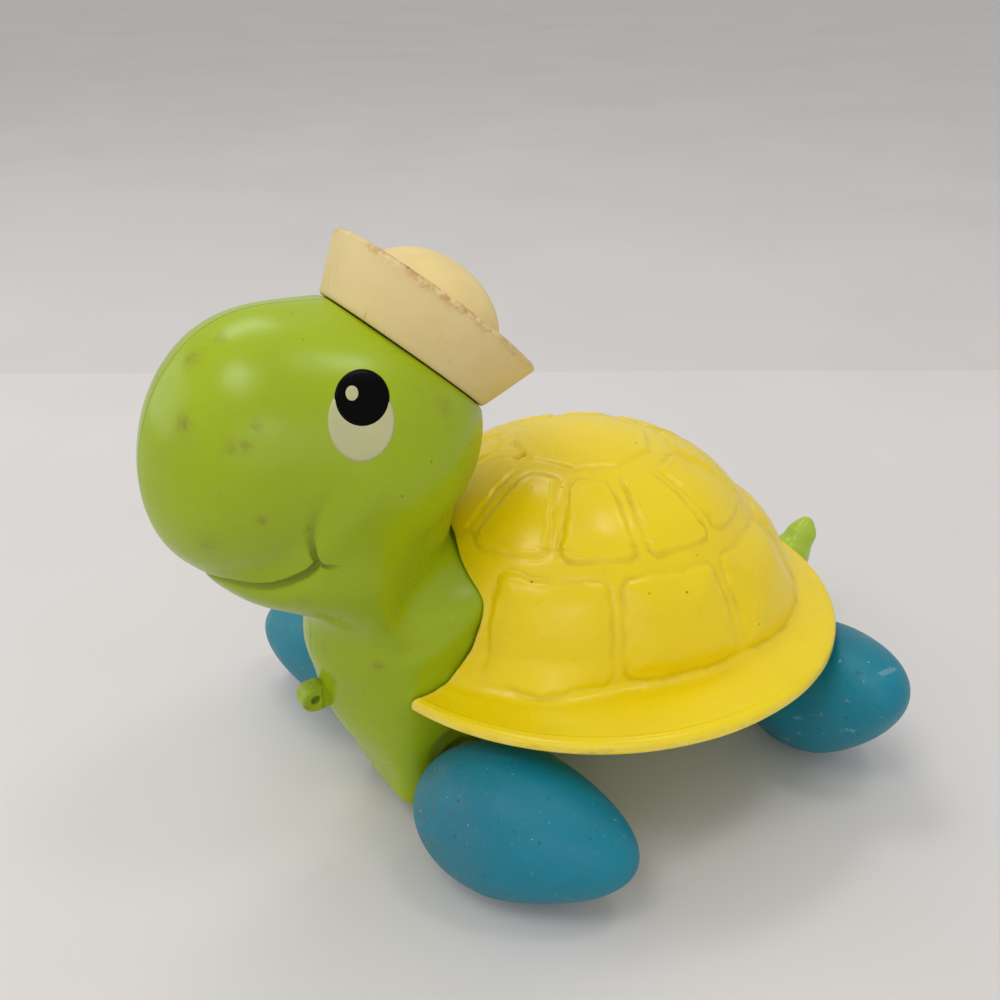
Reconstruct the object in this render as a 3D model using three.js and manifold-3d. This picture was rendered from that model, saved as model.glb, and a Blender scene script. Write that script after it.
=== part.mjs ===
// Wheeled pull toy in the shape of a turtle with a hat.
// Millimetres, +Z up, +X towards the head, +Y to the toy's left, ground at z = 0.
import * as THREE from 'three';
import { ParametricGeometry } from 'three/addons/geometries/ParametricGeometry.js';
import { mergeVertices } from 'three/addons/utils/BufferGeometryUtils.js';
import Module from 'manifold-3d';

const wasm = await Module();
wasm.setup();

// ---------------------------------------------------------------- dimensions
const RAD = Math.PI / 180;
const X_SHIFT = -3.05;             // puts the middle of the overall length at x = 0

// feet: egg-shaped rollers, canted on their axles, left and right in opposite phase
const FOOT_R = 24.0;               // largest radius of the egg
const FOOT_OUT = 41.45;             // widest circle to the outer tip
const FOOT_IN = 33.98;              // widest circle to the inner end
const FOOT_P_OUT = 1.311;            // profile exponents
const FOOT_P_IN = 2.13;
const FOOT_CANT = 30.0 * RAD;      // egg axis to axle
const FOOT_Y = 57.6;               // axle mid-point to egg centre
const FOOT_WALL = 3.2;
const FRONT_AXLE_X = 48.6;
const REAR_AXLE_X = -81.3;
const FRONT_PHASE = 0.0 * RAD;     // 0: left tip swept back, 90: left tip up
const REAR_PHASE = 99.0 * RAD;
const FRONT_AXLE_Z = 24.0;
const REAR_AXLE_Z = 27.04;

// axles, hubs, washers and bushes (distances from the mid-plane)
const AXLE_R = 1.75;
const AXLE_HALF = 43.6;
const HUB_R = 6.9;
const HUB_FLANGE_R = 9.0;
const HUB_Y0 = 25.2;               // flange face towards the body
const HUB_Y1 = 27.7;               // back of the flange
const HUB_Y2 = 47.2;               // blind end
const HUB_BORE_END = 44.2;
const WASHER_Y0 = 24.15;
const WASHER_Y1 = 24.9;
const WASHER_R = 5.4;
const BUSH_FLANGE_R = 6.0;
const BUSH_Y0 = 17.5;
const BUSH_Y1 = 22.85;
const BUSH_Y2 = 23.85;
const BUSH_R = 4.2;
const BUSH_BORE = 2.1;
const WELL_GAP = 0.9;              // clearance of the wheel wells around the turning feet
const BOSS_R = 8.2;                // axle boss on the flank
const BOSS_Y = 22.55;

// moulded body: wall, seam and the smooth masses that make up its outside
const WALL = 2.6;
const SEAM = 0.15;
const SNOUT = { x: 106.36, z: 143.59, a: 27.77, b: 35.04, c: 38.85, t: 0.21, ridge: 9.16 };
const CRANIUM = { x: 70.25, z: 142.95, a: 38.94, b: 39.94, c: 37.63, t: 0.06, ridge: 0 };
const JAW = { x: 85.89, z: 106.0, a: 33.56, b: 33.21, c: 17.76, t: 0.18, ridge: 5.5 };
const THROAT = { x: 75.623, z: 91.009, a: 25.476, b: 27.978, c: 11.581, t: 1.078, ridge: 0 };
const NECK = { x1: 60.22, z1: 108.08, r1: 18.07, x2: 61.629, z2: 56.529, r2: 18.777, ky: 0.944 };
const SHOULDER = { x: 45.345, z: 84.339, a: 20.162, b: 28.205, c: 7.615, t: -0.325, ridge: 0 };
const FLANK = { x: 56.412, z: 75.067, a: 30.625, b: 25.0, c: 12.0, t: -0.226, ridge: 0 };
const CHEST = { x: 44.89, z: 47.41, a: 33.43, b: 24.346, c: 32.34, t: -0.14, ridge: 0 };
const KEEL_FRONT = { x0: 10.0, x1: 68.75, y: 22.5, z0: 7.8, z1: 62.0, r: 6.9 };
const HULL = { x0: -97.0, x1: 40.0, w: 22.3, z0: 7.6, z1: 54.6, n: 5.0, stern: 30.0 };   // belly between the feet
const BELLY_Z = 8.4;               // flat strip along the belly
const KEEL_POST = { x0: -66.0, x1: 30.0, y: 19.0, z0: 36.0, z1: 67.0, r: 4.0 };   // joins the keel to the torso floor

// carapace: dome, flare and flange
const DOME = { x: -12.01, a: 68.61, b: 64.09, z: 120.18, m: 2.319 };
const RIM = { x: -15.35, a: 87.37, b: 89.51, n: 2.061, z: 59.21, thick: 3.96 };
const SHELL_WALL = 2.6;
const SHELL_GAP = 0.5;             // carapace to body
const LIP = 4.0;                   // inward lip under the torso floor
const TORSO_FLOOR = 57.4;
const DOME_SWELL = [5.0, 4.0];     // upper and lower part
const DOME_STEPS = 7;              // facets of the dome, shared by the carapace and the torso
const DOME_END = 84 * RAD;
const DOME_SIDES = 34;

// hat
const HAT = { x: 52.79, z: 162.33, tilt: 42.15 * RAD, r0: 29.33, r1: 35.77, band: 18.02, crown: 24.26, rise: 19.78, wall: 2.4, plug: 8.0, plugLen: 9.0 };
const HAT_GAP = 0.3;

// tow eye and tail
const EYE = { x: 89.7, z: 52.0, r: 4.6, hole: 1.5, thick: 6.4, face: 87.1, stemY: 2.75, stemZ: 4.2, root: 73.4 };   // the plate steps down to its stem just outside the chest
const TAIL_Z = 40.5;
const TAIL_AXIS = [[-89.0, TAIL_Z], [-100.0, TAIL_Z], [-110.5, 41.6], [-118.6, 45.4], [-123.0, 50.6], [-124.8, 56.6]];
const TAIL_RADII = [7.1, 7.1, 7.5, 7.0, 4.9, 1.9];
const TAIL_FLANGE_R = 8.6;

// -------------------------------------------------------------- solid helpers
const clean = (geometry) => {
  const g = geometry.clone();
  for (const name of Object.keys(g.attributes)) if (name !== 'position') g.deleteAttribute(name);
  const m = mergeVertices(g, 1e-4);
  const src = m.index.array;
  const keep = [];
  for (let i = 0; i < src.length; i += 3) {
    const [a, b, c] = [src[i], src[i + 1], src[i + 2]];
    if (a !== b && b !== c && c !== a) keep.push(a, b, c);
  }
  const p = m.attributes.position;
  let volume = 0;
  const A = new THREE.Vector3(), B = new THREE.Vector3(), C = new THREE.Vector3();
  for (let i = 0; i < keep.length; i += 3) {
    A.fromBufferAttribute(p, keep[i]); B.fromBufferAttribute(p, keep[i + 1]); C.fromBufferAttribute(p, keep[i + 2]);
    volume += A.dot(B.cross(C));
  }
  if (volume < 0) for (let i = 0; i < keep.length; i += 3) { const t = keep[i]; keep[i] = keep[i + 1]; keep[i + 1] = t; }
  m.setIndex(keep);
  return m;
};
const solid = (geometry) => {
  const m = clean(geometry);
  return new wasm.Manifold(new wasm.Mesh({
    numProp: 3,
    vertProperties: new Float32Array(m.attributes.position.array),
    triVerts: new Uint32Array(m.index.array),
  }));
};
const surface = (manifold) => {
  const mesh = manifold.getMesh();
  const g = new THREE.BufferGeometry();
  const n = mesh.vertProperties.length / mesh.numProp;
  const p = new Float32Array(n * 3);
  for (let i = 0; i < n; i++) for (let k = 0; k < 3; k++) p[i * 3 + k] = mesh.vertProperties[i * mesh.numProp + k];
  g.setAttribute('position', new THREE.BufferAttribute(p, 3));
  g.setIndex(Array.from(mesh.triVerts));
  g.computeVertexNormals();
  return g;
};
const boxAt = (x0, x1, y0, y1, z0, z1) => new THREE.BoxGeometry(x1 - x0, y1 - y0, z1 - z0)
  .translate((x0 + x1) / 2, (y0 + y1) / 2, (z0 + z1) / 2);
// cylinder along Y between two y values
const discY = (r, y0, y1, sides, x = 0, z = 0) => new THREE.CylinderGeometry(r, r, y1 - y0, sides)
  .translate(x, (y0 + y1) / 2, z);
const lathe = (points, sides) => new THREE.LatheGeometry(points.map(([r, y]) => new THREE.Vector2(r, y)), sides);
const material = (color, roughness, metalness) => new THREE.MeshStandardMaterial({ color, roughness, metalness });

const group = new THREE.Group();
const place = (name, geometry, mat, parent = group) => {
  const mesh = new THREE.Mesh(geometry, mat);
  mesh.name = name;
  parent.add(mesh);
  return mesh;
};

// -------------------------------------------------- outside of the moulded body
const ellipsoid = (e, x, y, z) => {
  const dx = x - e.x, dz = z - e.z;
  const yy = e.ridge > 0 ? Math.sqrt(y * y + 4) - 2 + e.ridge : y;
  const c = Math.cos(e.t), s = Math.sin(e.t);
  const u = c * dx + s * dz, w = -s * dx + c * dz;
  const k = Math.hypot(u / e.a, yy / e.b, w / e.c);
  const g = Math.hypot(u / (e.a * e.a), yy / (e.b * e.b), w / (e.c * e.c)) + 1e-9;
  return k * (k - 1) / g;
};
const blend = (a, b, k) => {
  const h = Math.max(k - Math.abs(a - b), 0) / k;
  return Math.min(a, b) - h * h * k * 0.25;
};
const neckCone = (x, y, z) => {
  const dx = NECK.x2 - NECK.x1, dz = NECK.z2 - NECK.z1;
  let t = ((x - NECK.x1) * dx + (z - NECK.z1) * dz) / (dx * dx + dz * dz);
  t = Math.min(Math.max(t, 0), 1);
  t = 0.35 * t * t * (3 - 2 * t) + 0.65 * t;
  return Math.hypot(x - NECK.x1 - t * dx, y / NECK.ky, z - NECK.z1 - t * dz) - (NECK.r1 + (NECK.r2 - NECK.r1) * t);
};
const roundBox = (b, x, y, z) => {
  const qx = Math.abs(x - (b.x0 + b.x1) / 2) - ((b.x1 - b.x0) / 2 - b.r);
  const qy = Math.abs(y) - (b.y - b.r);
  const qz = Math.abs(z - (b.z0 + b.z1) / 2) - ((b.z1 - b.z0) / 2 - b.r);
  return Math.hypot(Math.max(qx, 0), Math.max(qy, 0), Math.max(qz, 0)) + Math.min(Math.max(qx, qy, qz), 0) - b.r;
};
const smoothStep = (from, to, v) => {
  const t = Math.min(Math.max((v - from) / (to - from), 0), 1);
  return t * t * (3 - 2 * t);
};
const bodyField = (x, y, z) => {
  let d = blend(ellipsoid(SNOUT, x, y, z), ellipsoid(CRANIUM, x, y, z), 26);
  d = blend(d, ellipsoid(JAW, x, y, z), 6 + 14 * smoothStep(108, 94, x));
  d = blend(d, ellipsoid(THROAT, x, y, z), 11.232);
  d = blend(d, neckCone(x, y, z), 14);
  d = blend(d, ellipsoid(SHOULDER, x, y, z), 13.083);
  d = blend(d, ellipsoid(FLANK, x, y, z), 15.299);
  d = blend(d, ellipsoid(CHEST, x, y, z), 22);
  return blend(d, roundBox(KEEL_FRONT, x, y, z), 14);
};
// centre line of the horizontal sections
const CENTRE = [[0, 40], [60, 48], [78, 49], [92, 66], [108, 78], [150, 80], [190, 84]];
const centreX = (z) => {
  for (let i = 1; i < CENTRE.length; i++) if (z <= CENTRE[i][0]) {
    const [z0, x0] = CENTRE[i - 1], [z1, x1] = CENTRE[i];
    return x0 + (x1 - x0) * (z - z0) / (z1 - z0);
  }
  return CENTRE[CENTRE.length - 1][1];
};
const reach = (level, z, cos, sin) => {
  const c = centreX(z);
  let lo = 0, hi = 0;
  while (hi < 90 && bodyField(c + hi * cos, hi * sin, z) < level) { lo = hi; hi += 1.0; }
  for (let i = 0; i < 24; i++) {
    const mid = (lo + hi) / 2;
    if (bodyField(c + mid * cos, mid * sin, z) < level) lo = mid; else hi = mid;
  }
  return lo;
};
const poleZ = (level, up) => {
  let lo = 120, hi = up ? 200 : -20;
  for (let i = 0; i < 40; i++) {
    const mid = (lo + hi) / 2;
    if (bodyField(centreX(mid), 0, mid) < level) lo = mid; else hi = mid;
  }
  return lo;
};
// head, neck and chest as a stack of horizontal sections at an offset from the outside
const column = (level, zList, sides) => {
  const top = poleZ(level, true), bottom = poleZ(level, false);
  const zs = [bottom, bottom + 0.02];
  for (const z of zList) if (z > bottom + 0.4 && z < top - 0.4) zs.push(z);
  zs.push(top - 0.35, top);
  const n = zs.length - 1;
  return new ParametricGeometry((u, v, target) => {
    const i = Math.round(v * n), z = zs[i];
    if (i === 0 || i === n) { target.set(centreX(z), 0, z); return; }
    const a = Math.round(u * sides) % sides / sides * 2 * Math.PI;
    const c = Math.cos(a), s = Math.abs(a - Math.PI) < 1e-9 ? 0 : Math.sin(a);
    const r = reach(level, z, c, s);
    target.set(centreX(z) + r * c, r * s, z);
  }, sides, n);
};
const Z_FINE = [9.6, 11.5, 15, 22, 31, 40, 48, 55, 62, 69, 76, 82, 86, 88.5, 90.5, 92.5, 95, 99, 105, 113, 122, 132, 142, 151, 159, 166, 172, 176, 179];
const Z_COARSE = [13, 22, 40, 58, 72, 84, 91, 94, 99, 110, 125, 140, 154, 166];
const Z_NOTCH = Z_FINE.filter((z) => z > 30 && z < 156);   // same sections as the body, so the gap stays even

// ------------------------------------------------------------ carapace surface
const superRadius = (cos, sin, a, b, n) => 1 / Math.pow(Math.pow(Math.abs(cos) / a, n) + Math.pow(Math.abs(sin) / b, n), 1 / n);
// meridian of the carapace: [share of dome radius, share of the flange, height]
const meridian = (steps, inset, drop) => {
  const out = [];
  const H = DOME.z - RIM.z;
  const tEnd = 66 * RAD;
  for (let i = 0; i <= steps; i++) {
    const t = tEnd * i / steps;
    out.push([Math.pow(Math.sin(t), 2 / DOME.m), 0, RIM.z + H * Math.pow(Math.cos(t), 2 / DOME.m), inset, drop]);
  }
  return out;
};
const domePoint = (share, flange, z, a, inset) => {
  const cos = Math.cos(a), sin = Math.sin(a);
  const rd = superRadius(cos, sin, DOME.a - inset, DOME.b - inset, 2);
  const rr = superRadius(cos, sin, RIM.a, RIM.b, RIM.n);
  // the dome stands fuller over the hind feet
  const turn = Math.abs(Math.atan2(sin, cos));
  const full = (DOME_SWELL[0] * smoothStep(99, 82, z) * smoothStep(75 * RAD, 150 * RAD, turn)
    + DOME_SWELL[1] * smoothStep(86, 66, z) * smoothStep(58 * RAD, 118 * RAD, turn)) * (1 - flange) * share;
  const r = rd * share + (rr - rd) * flange + full;
  const cx = DOME.x + (RIM.x - DOME.x) * flange;
  return new THREE.Vector3(cx + r * cos, r * sin, z);
};
const carapaceRing = (sides) => {
  const rows = [];
  for (const [s, f, z] of meridian(7, 0, 0)) rows.push([s, f, z, 0]);
  const last = rows[rows.length - 1];
  // concave flare from the dome into the flange
  const p0 = [last[0], 0, last[2]], p1 = [1.0, 0.02, RIM.z + 5.0], p2 = [1.0, 0.5, RIM.z + 1.6];
  for (let i = 1; i <= 4; i++) {
    const t = i / 4, q = 1 - t;
    rows.push([0, 1, 2].map((k) => q * q * p0[k] + 2 * q * t * p1[k] + t * t * p2[k]).concat(0));
  }
  rows.push([1, 0.9, RIM.z + 0.4, 0], [1, 0.975, RIM.z - 0.35, 0], [1, 1, RIM.z - 1.6, 0]);
  rows.push([1, 0.995, RIM.z - 2.9, 0], [1, 0.965, RIM.z - RIM.thick, 0]);
  // flat underside, lip, then the inside of the dome
  const inset = SHELL_WALL;
  const Hin = DOME.z - SHELL_WALL - RIM.z;
  const floorZ = RIM.z - RIM.thick;
  rows.push([1 - LIP / 62, 0, floorZ, inset], [1 - LIP / 62, 0, TORSO_FLOOR - 0.45, inset], [1, 0, TORSO_FLOOR - 0.3, inset]);
  for (let i = DOME_STEPS; i >= 0; i--) {
    const t = DOME_END * i / DOME_STEPS;
    rows.push([Math.pow(Math.sin(t), 2 / DOME.m), 0, RIM.z + Hin * Math.pow(Math.cos(t), 2 / DOME.m), inset]);
  }
  const n = rows.length - 1;
  return new ParametricGeometry((u, v, target) => {
    const [s, f, z, inset_] = rows[Math.round(v * n)];
    const a = Math.round(u * sides) % sides / sides * 2 * Math.PI;
    target.copy(domePoint(s, f, z, a, inset_));
  }, sides, n);
};
// solid under the carapace: a dome with a flat floor
const torso = (inset, floor, sides) => {
  const steps = DOME_STEPS;
  const H = DOME.z - inset - RIM.z;
  const rows = [];
  for (let i = 0; i <= steps; i++) {
    const t = DOME_END * i / steps;
    rows.push([Math.pow(Math.sin(t), 2 / DOME.m), RIM.z + H * Math.pow(Math.cos(t), 2 / DOME.m)]);
  }
  rows.push([1, floor], [0, floor]);
  const n = rows.length - 1;
  return new ParametricGeometry((u, v, target) => {
    const [s, z] = rows[Math.round(v * n)];
    const a = Math.round(u * sides) % sides / sides * 2 * Math.PI;
    target.copy(domePoint(s, 0, z, a, inset));
  }, sides, n);
};

// ------------------------------------------------------------------- materials
const GREEN = material(0x86a928, 0.32, 0);
const YELLOW = material(0xe2c62c, 0.42, 0);
const BLUE = material(0x1f7a94, 0.55, 0);
const CREAM = material(0xd8bf86, 0.5, 0);
const HARD = material(0xd9d5c8, 0.4, 0);
const NYLON = material(0xe6e2d6, 0.45, 0);
const STEEL = material(0xb9bcc0, 0.3, 1);

// -------------------------------------------------------------- body and shell
const axles = [[FRONT_AXLE_X, FRONT_AXLE_Z], [REAR_AXLE_X, REAR_AXLE_Z]];
const toYZX = new THREE.Matrix4().makeBasis(new THREE.Vector3(0, 1, 0), new THREE.Vector3(0, 0, 1), new THREE.Vector3(1, 0, 0));
const keel = (k, inset) => {
  const y = k.y - inset, z0 = k.z0 + inset, z1 = k.z1 - inset, r = Math.max(k.r - inset, 2);
  const s = new THREE.Shape();
  s.moveTo(-y + r, z0);
  s.lineTo(y - r, z0); s.absarc(y - r, z0 + r, r, -Math.PI / 2, 0, false);
  s.lineTo(y, z1 - r); s.absarc(y - r, z1 - r, r, 0, Math.PI / 2, false);
  s.lineTo(-y + r, z1); s.absarc(-y + r, z1 - r, r, Math.PI / 2, Math.PI, false);
  s.lineTo(-y, z0 + r); s.absarc(-y + r, z0 + r, r, Math.PI, 1.5 * Math.PI, false);
  const bevel = Math.min(3, r - 0.4);
  const x0 = k.x0 + inset, length = k.x1 - inset - x0;
  const g = new THREE.ExtrudeGeometry(s, { depth: length - 2 * bevel, bevelEnabled: true, bevelThickness: bevel, bevelSize: bevel, bevelOffset: -bevel, bevelSegments: 2, curveSegments: 4 });
  return g.applyMatrix4(toYZX).translate(x0 + bevel, 0, 0);
};
// belly hull: rounded sections along X, drawn in to a stern where the tail leaves
const hull = (inset) => {
  const w = HULL.w - inset, h = (HULL.z1 - HULL.z0) / 2 - inset, zMid = (HULL.z0 + HULL.z1) / 2;
  const x0 = HULL.x0 + inset, x1 = HULL.x1 - inset;
  const xs = [x0, x0 + 0.6, x0 + 2.5, x0 + 6, x0 + 12, x0 + 20, x0 + HULL.stern, x1, x1];
  const n = xs.length - 1, sides = 20;
  return new ParametricGeometry((u, v, target) => {
    const i = Math.round(v * n), x = xs[i];
    const back = Math.max((x0 + HULL.stern - x) / HULL.stern, 0);
    const s = Math.pow(Math.max(1 - Math.pow(back, 2.6), 0), 1 / 2.6);
    const k = i === 0 || i === n ? 0 : s;
    const a = (Math.round(u * sides) % sides + 0.5) / sides * 2 * Math.PI, c = Math.cos(a), d = Math.sin(a);
    const r = superRadius(c, d, 1, 1, HULL.n);
    target.set(x, w * k * r * c, TAIL_Z + (zMid - TAIL_Z) * s * s + h * k * r * d);
  }, sides, n);
};
// space swept by a turning foot, grown by a clearance, as a turned profile about the axle
const wheelWell = (gap, side, x, z) => {
  const bins = [];
  const step = 3;
  for (let i = 0; i <= 80; i++) for (let j = 0; j <= 40; j++) {
    const t = -FOOT_IN + (FOOT_IN + FOOT_OUT) * i / 80;
    const e = t < 0 ? Math.pow(-t / FOOT_IN, FOOT_P_IN) : Math.pow(t / FOOT_OUT, FOOT_P_OUT);
    const r = FOOT_R * Math.sqrt(Math.max(1 - e, 0)), f = Math.PI * j / 40;
    const y = t * Math.cos(FOOT_CANT) + r * Math.cos(f) * Math.sin(FOOT_CANT);
    const p = -t * Math.sin(FOOT_CANT) + r * Math.cos(f) * Math.cos(FOOT_CANT);
    const q = Math.hypot(p, r * Math.sin(f));
    const b = Math.floor((y + 33) / step);
    if (y < 0) bins[b] = Math.max(bins[b] ?? 0, q);
  }
  const pts = [[0, FOOT_Y - 31.9 - gap]];
  let widest = 0;
  for (let b = 0; b < bins.length; b++) if (bins[b] !== undefined) {
    widest = Math.max(widest, bins[b] + gap);
    pts.push([widest, FOOT_Y - 33 + step * b - gap * 0.7]);
  }
  pts[1][1] = FOOT_Y - 31.9 - gap;
  pts.push([widest, 70], [0, 70]);
  const g = lathe(pts, 22);
  if (side < 0) g.applyMatrix4(new THREE.Matrix4().makeRotationX(Math.PI));
  return g.translate(x, 0, z);
};
const hatAxis = new THREE.Vector3(-Math.sin(HAT.tilt), 0, Math.cos(HAT.tilt));
const hatTurn = new THREE.Quaternion().setFromUnitVectors(new THREE.Vector3(0, 1, 0), hatAxis);
const onHat = (geometry, along) => geometry.applyQuaternion(hatTurn)
  .translate(HAT.x + hatAxis.x * along, 0, HAT.z + hatAxis.z * along);

let outside = solid(column(0, Z_FINE, 30))
  .add(solid(hull(0)))
  .add(solid(keel(KEEL_POST, 0)))
  .add(solid(torso(SHELL_WALL + SHELL_GAP, TORSO_FLOOR, DOME_SIDES)));
outside = outside.subtract(solid(onHat(new THREE.CylinderGeometry(46, 46, 60, 24), 30)));
let inside = solid(column(-WALL, Z_COARSE, 16))
  .add(solid(hull(WALL)))
  .add(solid(keel(KEEL_POST, WALL)))
  .add(solid(torso(SHELL_WALL + SHELL_GAP + WALL, TORSO_FLOOR + WALL, 16)));
inside = inside.subtract(solid(onHat(new THREE.CylinderGeometry(46, 46, 60, 24), 30 - WALL)));
for (const [x, z] of axles) for (const side of [1, -1]) {
  const [a, b] = side > 0 ? [12, BOSS_Y] : [-BOSS_Y, -12];
  const [c, d] = side > 0 ? [BOSS_Y, 45] : [-45, -BOSS_Y];
  outside = outside.subtract(solid(wheelWell(WELL_GAP, side, x, z)))
    .subtract(solid(discY(BOSS_R + 1.5, c, d, 18, x, z)))
    .add(solid(discY(BOSS_R, a, b, 18, x, z)));
  inside = inside.subtract(solid(wheelWell(WELL_GAP + WALL, side, x, z)));
}
outside = outside.subtract(solid(boxAt(-120, 120, -40, 40, -10, BELLY_Z)));
inside = inside.subtract(solid(boxAt(-120, 120, -40, 40, -10, BELLY_Z + WALL)));
let shellBody = outside.subtract(inside);
shellBody = shellBody.subtract(solid(onHat(new THREE.CylinderGeometry(HAT.plug + 0.4, HAT.plug + 0.4, 16, 20), -4)));
for (const [x, z] of axles) for (const side of [1, -1]) {
  const [c, d] = side > 0 ? [12, 30] : [-30, -12];
  shellBody = shellBody.subtract(solid(discY(BUSH_R + 0.35, c, d, 16, x, z)));
}
// slot for the tow eye and hole for the tail, both across the seam
shellBody = shellBody.subtract(solid(boxAt(72, 90, -EYE.stemY - 0.3, EYE.stemY + 0.3, EYE.z - EYE.stemZ - 0.3, EYE.z + EYE.stemZ + 0.3)));
const alongX = new THREE.Matrix4().makeRotationZ(Math.PI / 2);
shellBody = shellBody.subtract(solid(new THREE.CylinderGeometry(7.6, 7.6, 12, 18).applyMatrix4(alongX).translate(-96, 0, TAIL_Z)));
place('body_left', surface(shellBody.intersect(solid(boxAt(-150, 150, SEAM, 120, 0, 220)))), GREEN);
place('body_right', surface(shellBody.intersect(solid(boxAt(-150, 150, -120, -SEAM, 0, 220)))), GREEN.clone());

let carapace = solid(carapaceRing(DOME_SIDES));
carapace = carapace.subtract(solid(column(SHELL_GAP + 0.3, Z_NOTCH, 30)));
place('carapace', surface(carapace), YELLOW);

// ------------------------------------------------------------------------- hat
const crownArc = (r, h0, rise, list) => list.map((k) => [r * Math.cos(k * RAD), h0 + rise * Math.sin(k * RAD)]);
const crownBase = 0.6 * HAT.band;
const hatProfile = [
  [0, crownBase + HAT.rise],
  ...crownArc(HAT.crown, crownBase, HAT.rise, [72, 54, 36, 18]),
  [HAT.crown + 0.2, crownBase + 1.2], [HAT.crown + 2.2, crownBase + 0.6],
  [HAT.r1 - 3.4, HAT.band - 0.5], [HAT.r1 - 2.2, HAT.band + 0.5], [HAT.r1 - 0.7, HAT.band + 0.4], [HAT.r1, HAT.band - 0.4],
  [HAT.r0, 0.3], [HAT.r0 - 0.5, 0],
  [HAT.plug, 0], [HAT.plug, -HAT.plugLen], [HAT.plug - 2, -HAT.plugLen], [HAT.plug - 2, HAT.wall],
  [HAT.r0 - 3, HAT.wall], [HAT.r0 - 1.2, 7.6], [HAT.crown + 2, crownBase - 2.0],
  ...crownArc(HAT.crown - HAT.wall, crownBase, HAT.rise - HAT.wall, [4, 30, 60]),
  [0, crownBase + HAT.rise - HAT.wall],
];
const hatMesh = place('hat', surface(solid(lathe(hatProfile, 24))), CREAM);
hatMesh.quaternion.copy(hatTurn);
hatMesh.position.set(HAT.x + hatAxis.x * HAT_GAP, 0, HAT.z + hatAxis.z * HAT_GAP);

// -------------------------------------------------------------------- tow eye
const eyeShape = new THREE.Shape();
eyeShape.moveTo(EYE.face, EYE.z - EYE.r);
eyeShape.lineTo(EYE.x, EYE.z - EYE.r);
eyeShape.absarc(EYE.x, EYE.z, EYE.r, -Math.PI / 2, Math.PI / 2, false);
eyeShape.lineTo(EYE.face, EYE.z + EYE.r);
const eyeHole = new THREE.Path();
eyeHole.absarc(EYE.x, EYE.z, EYE.hole, 0, 2 * Math.PI, true);
eyeShape.holes.push(eyeHole);
const EYE_BEVEL = 0.3;
const eyePlate = new THREE.ExtrudeGeometry(eyeShape, { depth: EYE.thick - 2 * EYE_BEVEL, bevelEnabled: true, bevelThickness: EYE_BEVEL, bevelSize: EYE_BEVEL, bevelOffset: -EYE_BEVEL, bevelSegments: 1, curveSegments: 6 });
eyePlate.applyMatrix4(new THREE.Matrix4().makeRotationX(Math.PI / 2)).translate(0, EYE.thick / 2 - EYE_BEVEL, 0);
const eyeStem = boxAt(EYE.root + 1, EYE.face + 0.4, -EYE.stemY, EYE.stemY, EYE.z - EYE.stemZ, EYE.z + EYE.stemZ);
const eyeBar = boxAt(EYE.root, EYE.root + 2.6, -5.4, 5.4, EYE.z - EYE.stemZ - 0.2, EYE.z + EYE.stemZ + 0.2);
place('tow_eye', surface(solid(eyePlate).add(solid(eyeStem)).add(solid(eyeBar))), GREEN.clone());

// ------------------------------------------------------------------------ tail
const tailCurve = new THREE.CatmullRomCurve3(TAIL_AXIS.map(([x, z]) => new THREE.Vector3(x, 0, z)));
const tailRadius = (t) => {
  const f = t * (TAIL_RADII.length - 1), i = Math.min(Math.floor(f), TAIL_RADII.length - 2);
  return TAIL_RADII[i] + (TAIL_RADII[i + 1] - TAIL_RADII[i]) * (f - i);
};
const TAIL_SIDES = 12, TAIL_STEPS = 8;
const tailTube = new ParametricGeometry((u, v, target) => {
  const i = Math.round(v * (TAIL_STEPS + 2));
  const t = Math.min(Math.max((i - 1) / TAIL_STEPS, 0), 1);
  const p = tailCurve.getPoint(t), d = tailCurve.getTangent(t).normalize();
  const side = new THREE.Vector3(0, 1, 0), up = new THREE.Vector3().crossVectors(d, side);
  const a = Math.round(u * TAIL_SIDES) % TAIL_SIDES / TAIL_SIDES * 2 * Math.PI;
  let r = tailRadius(t);
  if (i === 0) r = 0;
  if (i === TAIL_STEPS + 2) { r = 0; p.addScaledVector(d, 0.9); }
  target.copy(p).addScaledVector(side, r * Math.cos(a)).addScaledVector(up, r * Math.sin(a));
}, TAIL_SIDES, TAIL_STEPS + 2);
const tailFlange = new THREE.CylinderGeometry(TAIL_FLANGE_R, TAIL_FLANGE_R, 1.8, 18).applyMatrix4(alongX).translate(-90.0, 0, TAIL_Z);
place('tail', surface(solid(tailTube).add(solid(tailFlange))), GREEN.clone());

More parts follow.
